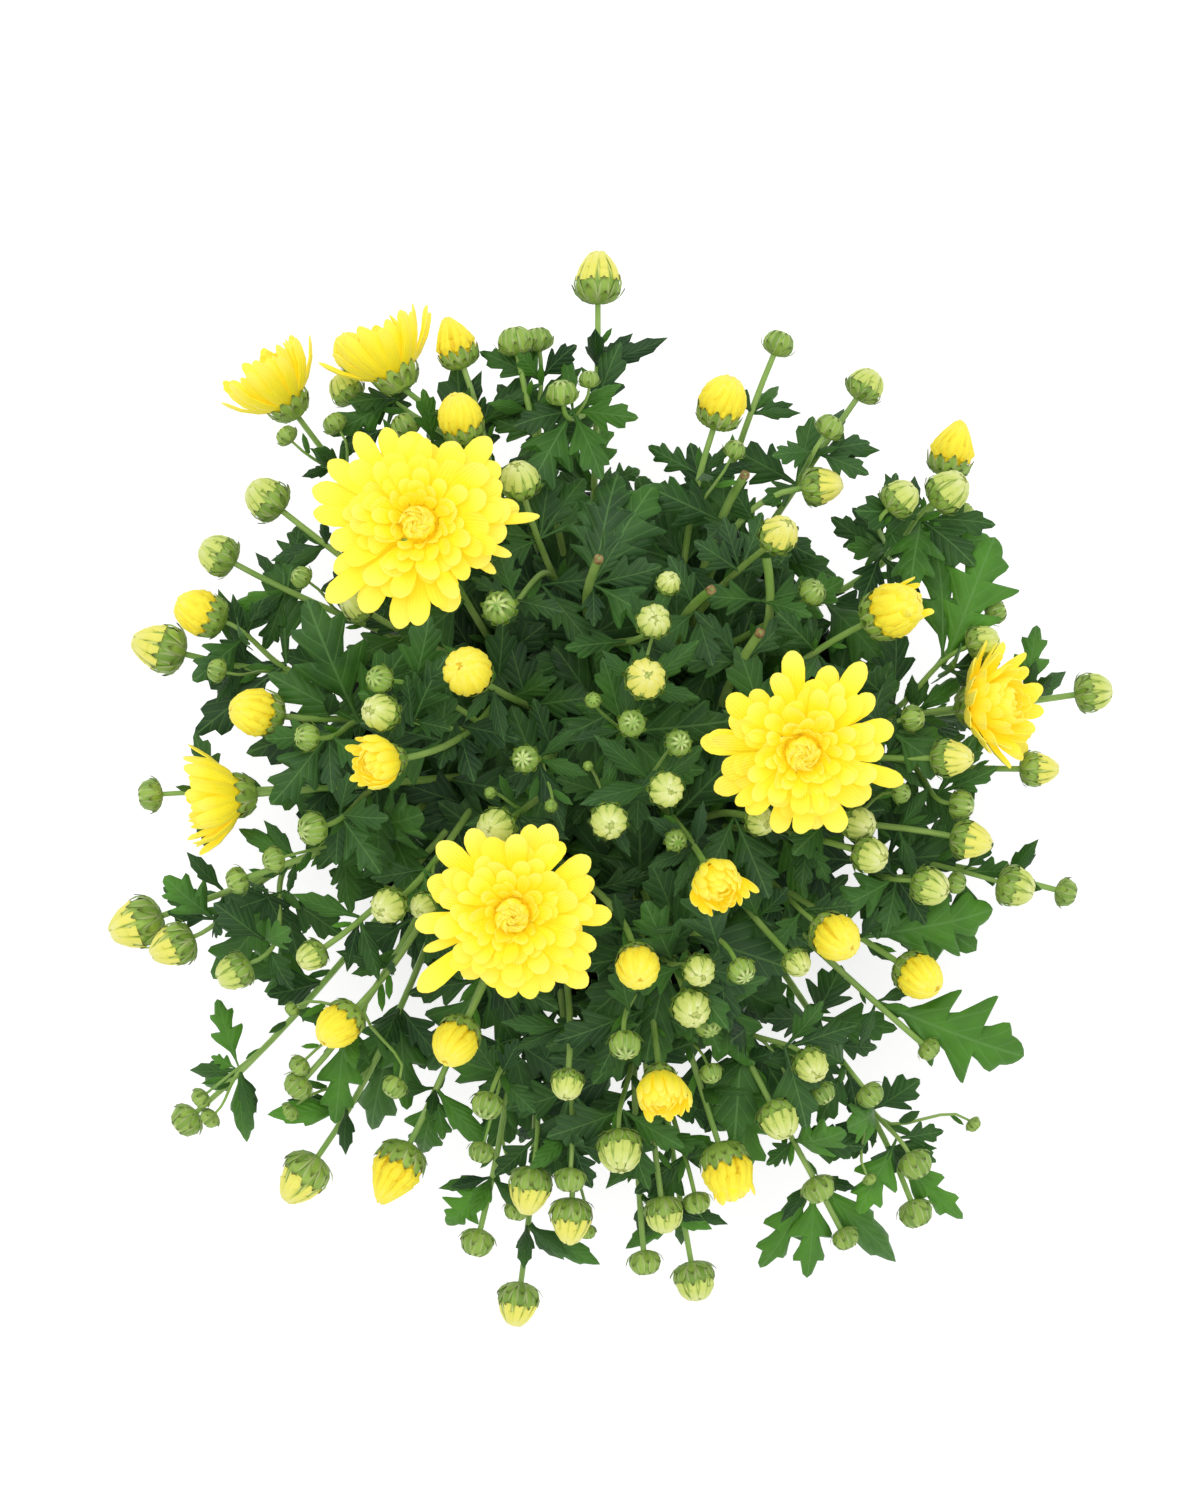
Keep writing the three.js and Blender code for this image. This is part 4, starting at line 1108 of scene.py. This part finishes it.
# The pot, turned with its lip and foot, and its drainage holes cut
def add_pot(material):
    bm = bmesh.new()
    spin_round(bm, pot_profile(), 96)
    smooth_faces(bm, 0.7)
    pot = finish_piece(bm, "pot_shell", [material])
    cutters = bmesh.new()
    for i in range(DRAINS):
        a = math.radians(i * 60 + 30)
        at = Matrix.Translation((DRAIN_CIRCLE * math.cos(a), DRAIN_CIRCLE * math.sin(a), DRAIN_HEIGHT))
        bmesh.ops.create_cone(cutters, cap_ends=True, segments=24, radius1=DRAIN_RADIUS,
                              radius2=DRAIN_RADIUS, depth=DRAIN_CUT, matrix=at)
    holes = place_mesh(cutters, "holes")
    cut = pot.modifiers.new("holes", "BOOLEAN")
    cut.operation, cut.solver, cut.object = "DIFFERENCE", "EXACT", holes
    evaluated = pot.evaluated_get(bpy.context.evaluated_depsgraph_get())
    mesh = bpy.data.meshes.new_from_object(evaluated)
    pot.modifiers.clear()
    pot.data = mesh
    bpy.data.objects.remove(holes)
    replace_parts(pot, "pot")


# The soil's edge below the rim, how far its ring sags there, and its crumbs
SOIL_EDGE, SOIL_SAG, SOIL_RINGS = 0.6, 3, 26
CRUMBS, ROUGHNESS, ROUGH_SCALE = 520, 2.0, 0.16


def pot_inside(z):
    widening = (SHOULDER_RADIUS - FOOT_RADIUS) / (SHOULDER - POT_FLOOR)
    return FOOT_RADIUS - POT_WALL + widening * (z - POT_FLOOR) - SOIL_EDGE


def soil_height(share):
    return SOIL_LEVEL + SOIL_MOUND * (1 - share ** 2) - SOIL_SAG * share ** 6


def soil_roughness(place):
    return ROUGHNESS * noise.fractal(place * ROUGH_SCALE, 0.8, 2.2, 5)


# The soil: a crumbly top on the body that fills the pot, with loose crumbs and white specks
def add_soil(material, specks):
    reach = pot_inside(SHOULDER - 2)
    top = [(reach * k / SOIL_RINGS, soil_height(k / SOIL_RINGS)) for k in range(SOIL_RINGS + 1)]
    base = POT_FLOOR + GAP
    bm = start_mesh()
    spin_round(bm, top + [(pot_inside(POT_FLOOR), base), (0, base)], 110)
    for v in bm.verts:
        if v.co.z > SOIL_LEVEL - 6 and v.co.to_2d().length < reach - 0.5:
            v.co.z += soil_roughness(v.co)
    dice = random.Random(5)
    for i in range(CRUMBS):
        add_crumb(bm, dice, reach, i % 9 == 0)
    smooth_faces(bm)
    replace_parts(finish_piece(bm, "soil_bed", [material, specks]), "soil")


def add_crumb(bm, dice, reach, white):
    size = dice.uniform(0.6, 1.1) if white else dice.uniform(0.7, 2.2)
    r, a = (reach - 3) * math.sqrt(dice.random()), dice.uniform(0, FULL_TURN)
    x, y, z = r * math.cos(a), r * math.sin(a), soil_height(r / reach)
    z += soil_roughness(Vector((x, y, z)))
    turn = Matrix.Rotation(dice.uniform(0, 6), 4, "X") @ Matrix.Rotation(dice.uniform(0, 6), 4, "Y")
    stretch = Matrix.Diagonal((size, size * dice.uniform(0.6, 1), size * dice.uniform(0.5, 0.9), 1))
    place = Matrix.Translation((x, y, z + 0.25 * size)) @ turn @ stretch
    made = bmesh.ops.create_icosphere(bm, subdivisions=1, radius=1, matrix=place)["verts"]
    for f in {f for v in made for f in v.link_faces}:
        f.material_index = int(white)


PLANT_RADIUS, PLANT_HEIGHT, WOODY_TONE, CROWN_TAPER = 150, 260, 0.15, 0.88
STEM_TAPER, STEM_SHARE, BRACT_SPACING, STEEPEST_BRACT = 0.72, 0.94, 14, 0.8


# The green parts of one rooted cutting. Leaves are lighter towards the plant's edge and top, a painted shade
# that darkens the leaves inside the plant, over tone that differs at random
def add_growth(plant, materials):
    dice = random.Random(len(plant.main) * 7 + round(plant.root.x))
    bm = start_mesh()
    straight = (plant.root, plant.root.lerp(plant.top, 1 / 3), plant.root.lerp(plant.top, 2 / 3), plant.top)
    lay(bm, "crown", along_curve(straight, CROWN_RADIUS, CROWN_RADIUS * CROWN_TAPER), WOODY_TONE)
    for stem in plant.stems:
        lay_stem(bm, stem, dice)
    for leaf in plant.leaves:
        # Painted shade: leaves near the middle get a darker tone and those at the edge a lighter one, with a
        # random share
        outwards = math.hypot(leaf.tip.x, leaf.tip.y) / PLANT_RADIUS
        lay_leaf(bm, leaf, dice, min(0.9, 0.5 * outwards ** 2 + 0.4 * dice.random()))
    for leaf in plant.side:
        # Painted shade: lower side leaves get a darker tone than higher ones, with a random share
        height = leaf.root.length / PLANT_HEIGHT
        lay_leaf(bm, leaf, dice, min(0.8, 0.4 * height ** 2 * dice.random() + 0.3 * dice.random() ** 2))
    for stem in plant.stems:
        lay_head(bm, stem.h, dice)
    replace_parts(finish_piece(bm, plant.name + "_growth", materials), plant.name)


def lay_stem(bm, stem, dice):
    kind = stem.h.kind
    end = stem.radius * (1 if kind == "stub" else STEM_TAPER)
    lay(bm, "twig" if stem.radius == TWIG_RADIUS else "stem",
        along_curve(stem.curve, stem.radius, end, STEM_SHARE), 0.75 + 0.25 * dice.random())
    count = int(stem.reach / BRACT_SPACING)
    for i in range(count):
        t = 0.25 + 0.68 * (i + 0.6 * dice.random()) / max(1, count)
        if kind == "stub" and t > 0.6:
            continue
        heading = bezier_heading(*stem.curve, t)
        u = heading.orthogonal().normalized()
        around = math.radians(GOLDEN_ANGLE * (i + stem.h.x))
        out = u * math.cos(around) + heading.cross(u) * math.sin(around)
        way = (out * 0.8 + heading * 0.9 + UP * 0.15).normalized()
        length = dice.uniform(6, 12) * (1.15 - 0.4 * t)
        at = bezier(*stem.curve, t)
        leaf = SimpleNamespace(root=at + out * stem.radius * 0.6, tip=at + way * length, width=length * 0.3)
        if abs(way.z) < STEEPEST_BRACT:
            lay(bm, "bract", as_leaf(leaf, 0.08, dice.uniform(-0.5, 0.5), 0.1), dice.uniform(0.35, 0.95))


def lay_leaf(bm, leaf, dice, tone):
    lay(bm, leaf.form, as_leaf(leaf, 0.1, dice.uniform(-0.35, 0.35), dice.uniform(0.05, 0.35)), tone)


# Each kind of head's green body, the profile that its scales lie against, and their rows:
# how many, start and end along the profile, width, lift, and flare at the tip
CUPS = {
    "green": ("green_bud", GREEN_BUD, [(8, 0.12, 0.52, 0.25, 0.0, 0.12), (8, 0.3, 0.86, 0.27, 0.0, 0.0)]),
    "pale": ("pale_bud", PALE_BUD, [(9, 0.12, 0.42, 0.22, 0.012, 0.1), (10, 0.22, 0.55, 0.25, 0.008, 0.03)]),
    "yellow": ("yellow_cup", YELLOW_WRAP, [(11, 0.12, 0.56, 0.22, 0.012, 0.06),
                                           (12, 0.28, 0.72, 0.22, 0.014, 0.025),
                                           (11, 0.4, 0.86, 0.21, 0.02, 0.02)]),
    "opening": ("opening_cup", OPENING_WRAP, [(9, 0.15, 0.68, 0.14, 0.01, 0.05),
                                              (10, 0.3, 0.9, 0.14, 0.012, 0.02)]),
    "bloom": ("bloom_cup", BLOOM_CUP, [(10, 0.2, 0.75, 0.07, 0.004, 0.01),
                                       (10, 0.35, 0.95, 0.07, 0.008, 0.012)]),
}


RIPE_STRETCH, RIPE_TAPER = 1.16, 0.45


# The angles of a ring of petals or scales, each a little out of its place
def ring(dice, count, start, wobble):
    for i in range(count):
        yield FULL_TURN * (i + start + wobble * dice.uniform(-1, 1)) / count


def lay_head(bm, h, dice):
    spin = dice.uniform(0, FULL_TURN)
    if h.kind == "stub":
        lay(bm, "cut_end", on_axis(h.neck, h.axis, STEM_SHARE * STUB_RADIUS, spin))
        return
    tone = 0.1 if h.size < 20 else dice.uniform(0.35, 0.9)
    stretch = dice.uniform(0.95, 1.05) if h.kind in ("green", "pale") else 1.0
    if "ripe" in h.more:
        body = on_axis(h.neck, h.axis, h.diameter, spin, stretch * RIPE_STRETCH, RIPE_TAPER)
    else:
        body = on_axis(h.neck, h.axis, h.diameter, spin, stretch)
    form, profile, rows = CUPS[h.kind]
    lay(bm, form, body, tone)
    for row, (count, start, end, width, lift, flare) in enumerate(rows):
        for angle in ring(dice, count, 0.5 + row / 2, 0.12):
            reach = end + dice.uniform(-0.05, 0.03)
            bulge = 0.03 if row else 0.01
            lay(bm, "scale", against(body, profile, start, reach, angle, width, lift, flare, bulge),
                dice.uniform(0.2, 0.9))
    if h.kind == "pale":
        lay_folded_tips(bm, body, dice, "ripe_tip" if "ripe" in h.more else "tip")


# The paler petal tips that show folded together at the top of a bud. Each row: how many, start and
# end along the profile, width
TIP_ROWS = [(10, 0.34, 0.9, 0.23), (7, 0.5, 0.97, 0.2)]


def lay_folded_tips(bm, body, dice, form):
    for row, (count, start, end, width) in enumerate(TIP_ROWS):
        for angle in ring(dice, count, row / 2, 0.25):
            reach = end + dice.uniform(-0.08, 0.02)
            lay(bm, form, against(body, PALE_BUD, start, reach, angle, width, 0.004, 0.014, 0.035, 0.25),
                dice.uniform(0.3, 1))


# Rows of a yellow bud's petals: how many, start and end along the profile, width, lift
YELLOW_ROWS = [(9, 0.5, 0.99, 0.17, 0.002), (12, 0.3, 0.97, 0.2, -0.002), (14, 0.22, 0.92, 0.22, 0.004)]
LOOSE_PETALS = 9


# The yellow of a closed bud: petals folded over a core, and on some a ring of loose petals
def lay_yellow_bud(bm, h, name, dice):
    stretch, taper = (1.08, 0.7) if "pointed" in h.more else (1, 0.08)
    body = on_axis(h.neck, h.axis, h.diameter, dice.uniform(0, 6), stretch, taper)
    lay(bm, "yellow_core", body)
    for row, (count, start, end, width, lift) in enumerate(YELLOW_ROWS):
        for angle in ring(dice, count, row / 2, 0.25):
            reach = end + dice.uniform(-0.1, 0.02)
            lay(bm, "folded", against(body, YELLOW_BUD, start, reach, angle, width, lift, 0.012, 0.06, 0.45),
                dice.uniform(0.4, 1))
    if "loose" in h.more:
        for angle in ring(dice, LOOSE_PETALS, 0, 0.4):
            length, end_rise = dice.uniform(0.38, 0.6), dice.uniform(74, 116)
            lay(bm, "finger", as_petal(body, (0.37, 0.66), angle, length, 0.19, (74, end_rise), 0.9,
                                       dice.uniform(-0.1, 0.1), dice.uniform(-0.3, 0.3)), 0.9)


# Opening flowers, by their size in pixels: how many outer petals spread, and the rows of petals, which
# give how many, root radius and height, length, width, rise, end rise
OPENING_ROWS = [
    (70, 0.7, [(14, 0.2, 0.2, 0.66, 0.17, 38, 126), (13, 0.18, 0.22, 0.66, 0.17, 46, 142),
               (12, 0.16, 0.26, 0.6, 0.16, 52, 155), (10, 0.14, 0.32, 0.5, 0.15, 60, 165),
               (8, 0.1, 0.4, 0.38, 0.13, 66, 175), (5, 0.06, 0.48, 0.25, 0.1, 72, 178)]),
    (91, 1.2, [(15, 0.19, 0.2, 0.72, 0.17, 34, 100), (14, 0.175, 0.23, 0.68, 0.16, 42, 112),
               (13, 0.15, 0.27, 0.58, 0.15, 50, 128), (11, 0.13, 0.32, 0.47, 0.14, 60, 148),
               (8, 0.1, 0.38, 0.36, 0.12, 66, 162), (5, 0.06, 0.44, 0.25, 0.1, 72, 172)]),
    (math.inf, 1.2, [(16, 0.19, 0.2, 0.6, 0.19, 20, 62), (16, 0.175, 0.23, 0.6, 0.18, 30, 80),
                     (14, 0.15, 0.27, 0.54, 0.16, 40, 100), (12, 0.13, 0.32, 0.46, 0.15, 50, 124),
                     (10, 0.11, 0.38, 0.37, 0.13, 58, 146), (8, 0.08, 0.44, 0.28, 0.12, 66, 162),
                     (5, 0.05, 0.5, 0.18, 0.09, 72, 174)]),
]


# An opening flower: a cup of petals that curl in, with a few outer ones spread like fingers, most of
# them on the side that it leans to
def lay_opening_flower(bm, h, name, dice):
    body = on_axis(h.neck, h.axis, h.diameter)
    lay(bm, "opening_hub", body)
    below = local_angle(h.axis, math.atan2(h.axis.y, h.axis.x))
    openness, rows = next(form for size, *form in OPENING_ROWS if h.size < size)
    for row, (count, radius, height, length, width, rise, curl) in enumerate(rows):
        for angle in ring(dice, count, row / 2, 0.25):
            reach = length * dice.uniform(0.84, 1.08)
            chance = 0.25 + 0.3 * math.cos(angle - below) if row < 2 else 0
            spread = dice.uniform(18, 40) if dice.random() < chance * openness else 0
            ends = (rise - 0.15 * spread + dice.uniform(-5, 5), curl - spread + dice.uniform(-12, 8))
            breadth = width * dice.uniform(0.9, 1.1) * (1 - 0.002 * spread)
            reach *= 1 + 0.002 * spread
            lay(bm, "finger", as_petal(body, (radius, height), angle, reach, breadth, ends, 0.9,
                                       dice.uniform(-0.08, 0.08), dice.uniform(-0.4, 0.4)),
                dice.uniform(0.5, 1))


# Where a direction seen from above points in a flower's own plane
def local_angle(axis, pointing):
    facing = np.array(UP.rotation_difference(axis).to_matrix())
    seen = facing.T @ (math.cos(pointing), math.sin(pointing), 0)
    return math.atan2(seen[1], seen[0])


# Rows of a bloom's petals inside its outermost, and of the button in its middle: how many, root radius
# and height, length, width, rise, end rise, cup
BLOOM_ROWS = [
    (13, 0.115, 0.055, 0.32, 0.125, 10, -6, 0.5), (14, 0.11, 0.065, 0.295, 0.12, 17, 2, 0.6),
    (14, 0.105, 0.075, 0.25, 0.115, 25, 14, 0.7), (14, 0.1, 0.085, 0.21, 0.1, 34, 26, 0.8),
    (14, 0.097, 0.09, 0.16, 0.085, 44, 44, 1.0), (13, 0.093, 0.09, 0.11, 0.07, 60, 66, 1.1),
]
BUTTON_ROWS = [
    (13, 0.078, 0.09, 0.115, 0.065, 74, 150, 1.4), (11, 0.06, 0.105, 0.1, 0.06, 74, 160, 1.4),
    (8, 0.042, 0.12, 0.08, 0.05, 76, 165, 1.4), (5, 0.022, 0.135, 0.055, 0.04, 78, 170, 1.4),
]
EDGE_ROOT, EDGE_HEIGHT, THIN_WIDTH, BUTTON_SWAY = 0.11, 0.05, 0.055, 0.4


def lay_bloom(bm, h, name, dice):
    body = on_axis(h.neck, h.axis, h.diameter)
    lay(bm, "bloom_hub", body)
    for pointing, reach in BLOOM_EDGES[name]:
        angle = local_angle(h.axis, math.radians(pointing))
        width = THIN_WIDTH if pointing in THIN_PETALS.get(name, ()) else dice.uniform(0.105, 0.13)
        rise = dice.uniform(-2, 8)
        ends = (rise, rise - dice.uniform(4, 16))
        lay(bm, "petal", as_petal(body, (EDGE_ROOT, EDGE_HEIGHT), angle, reach - 0.1, width, ends, 0.5,
                                  dice.uniform(-0.06, 0.06), dice.uniform(-0.3, 0.3)), dice.uniform(0.6, 1))
    for row, (count, radius, height, length, width, rise, curl, cup) in enumerate(BLOOM_ROWS + BUTTON_ROWS):
        button = row >= len(BLOOM_ROWS)
        for angle in ring(dice, count, 0.38 * row, 0.36):
            reach = length * (dice.uniform(0.92, 1.08) if button else dice.uniform(0.74, 1.14))
            ends = (rise + dice.uniform(-6, 8), curl + dice.uniform(-16, 12))
            sway = BUTTON_SWAY if button else dice.uniform(-0.14, 0.14)
            breadth = width * dice.uniform(0.72, 1.1)
            lay(bm, "petal", as_petal(body, (radius, height), angle, reach, breadth, ends,
                                      cup * dice.uniform(0.6, 1.6), sway, dice.uniform(-0.7, 0.7)),
                1 if button else dice.uniform(0.3, 1))


# The yellow heads are pieces of their own, numbered in the order in which they grew
FLOWERS = {"yellow": ("yellow_bud", lay_yellow_bud), "opening": ("opening_flower", lay_opening_flower),
           "bloom": ("bloom", lay_bloom)}


def add_flowers(heads, materials):
    numbers = dict.fromkeys(FLOWERS, 0)
    for h in heads:
        if h.kind in FLOWERS:
            numbers[h.kind] += 1
            label, lay_petals = FLOWERS[h.kind]
            name = f"{label}_{numbers[h.kind]}"
            bm = start_mesh()
            lay_petals(bm, h, name, random.Random(h.x))
            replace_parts(finish_piece(bm, name + "_petals", materials), name)


# The floor, soft studio light and a camera straight above
def add_floor():
    bm = bmesh.new()
    bmesh.ops.create_grid(bm, x_segments=8, y_segments=8, size=3)
    floor = place_mesh(bm, "floor")
    floor.data.materials.append(mottled_material(
        "pale_floor", 0.8, (0.02, 0.001), 3.0, (0.9, 0.9, 0.9), (0.93, 0.93, 0.93),
        {"Emission Color": (1, 1, 1), "Emission Strength": 0.34}))


def add_light(name, place, size, power):
    data = bpy.data.lights.new(name, "AREA")
    data.shape, data.size, data.energy = "SQUARE", size, power
    light = bpy.data.objects.new(name, data)
    light.location = place
    light.rotation_euler = (-Vector(place)).to_track_quat("-Z", "Y").to_euler()
    bpy.context.scene.collection.objects.link(light)


def add_world(brightness):
    world = bpy.data.worlds.new("studio")
    world.use_nodes = True
    background = world.node_tree.nodes["Background"].inputs
    put(background["Color"], (1, 1, 1))
    put(background["Strength"], brightness)
    bpy.context.scene.world = world


def add_camera(lens, sensor, nearest):
    data = bpy.data.cameras.new("camera")
    data.lens, data.sensor_width, data.clip_start = lens, sensor, nearest
    camera = bpy.data.objects.new("camera", data)
    camera.location = (0, 0, EYE_HEIGHT / 1000)
    bpy.context.scene.collection.objects.link(camera)
    bpy.context.scene.camera = camera


# Everything
plants = [grow_plant(name, root, shoots) for name, (root, shoots, _) in LEAFY_STEMS.items()]
grow_leaves(plants)
for plant, (_, _, side_buds) in zip(plants, LEAFY_STEMS.values()):
    grow_side_buds(plant, side_buds)
make_shapes()
green_finishes = [
    stem_material(),
    leaf_material("leaf_blade", 0.52, (0.008, 0.04, 0.009), (0.1, 0.31, 0.022), (0.15, 0.32, 0.085),
                  (0.034, 0.085, 0.036)),
    leaf_material("leaf_back", 0.62, (0.05, 0.12, 0.045), (0.12, 0.26, 0.08), (0.2, 0.36, 0.15),
                  (0.1, 0.18, 0.09)),
    bud_material(), dome_material(), scale_material(),
    # The last two numbers of each petal finish are a painted glow and how far painted crease shade darkens
    # the edges
    petal_material("pale_petal", (0.22, 0.4, 0.03), (0.72, 0.8, 0.2), (0.96, 0.96, 0.5), 0.05, 0.75),
    petal_material("ripe_petal", (0.45, 0.54, 0.03), (0.94, 0.88, 0.18), (0.98, 0.95, 0.44), 0.08, 0.5),
    mottled_material("dry_cut", 0.8, (0.6, 0.0003), 600.0, (0.2, 0.11, 0.035), (0.5, 0.36, 0.15)),
]
# The yellow petals and the core carry a painted glow: emission in their own colour that lifts their shaded
# sides
yellow_finishes = [
    petal_material("petal_yellow", (0.97, 0.72, 0.0), (0.98, 0.84, 0.03), (0.98, 0.88, 0.16), 0.17, 0.08),
    mottled_material("petal_core", 0.6, (0.4, 0.0004), 400.0, (0.68, 0.42, 0.0), (0.95, 0.72, 0.01),
                     painted_glow=0.1),
    petal_material("petal_folded", (0.74, 0.52, 0.0), (0.98, 0.86, 0.05), (0.99, 0.9, 0.2), 0.16, 0.75),
]
for plant in plants:
    add_growth(plant, green_finishes)
add_flowers([h for plant in plants for h in plant.heads], yellow_finishes)
add_pot(plastic_material())
add_soil(soil_material(), mottled_material("white_specks", 0.85, (0.6, 0.0005), 500.0, (0.5, 0.48, 0.42),
                                           (0.8, 0.78, 0.72)))
add_floor()
add_light("softbox_above", (-0.3, 0.6, 2.0), size=1.8, power=14)
add_light("softbox_side", (1.2, -0.9, 1.6), size=1.4, power=5)
add_world(brightness=0.72)
add_camera(lens=60.8, sensor=36, nearest=0.01)
bpy.context.scene.view_settings.view_transform = "Standard"
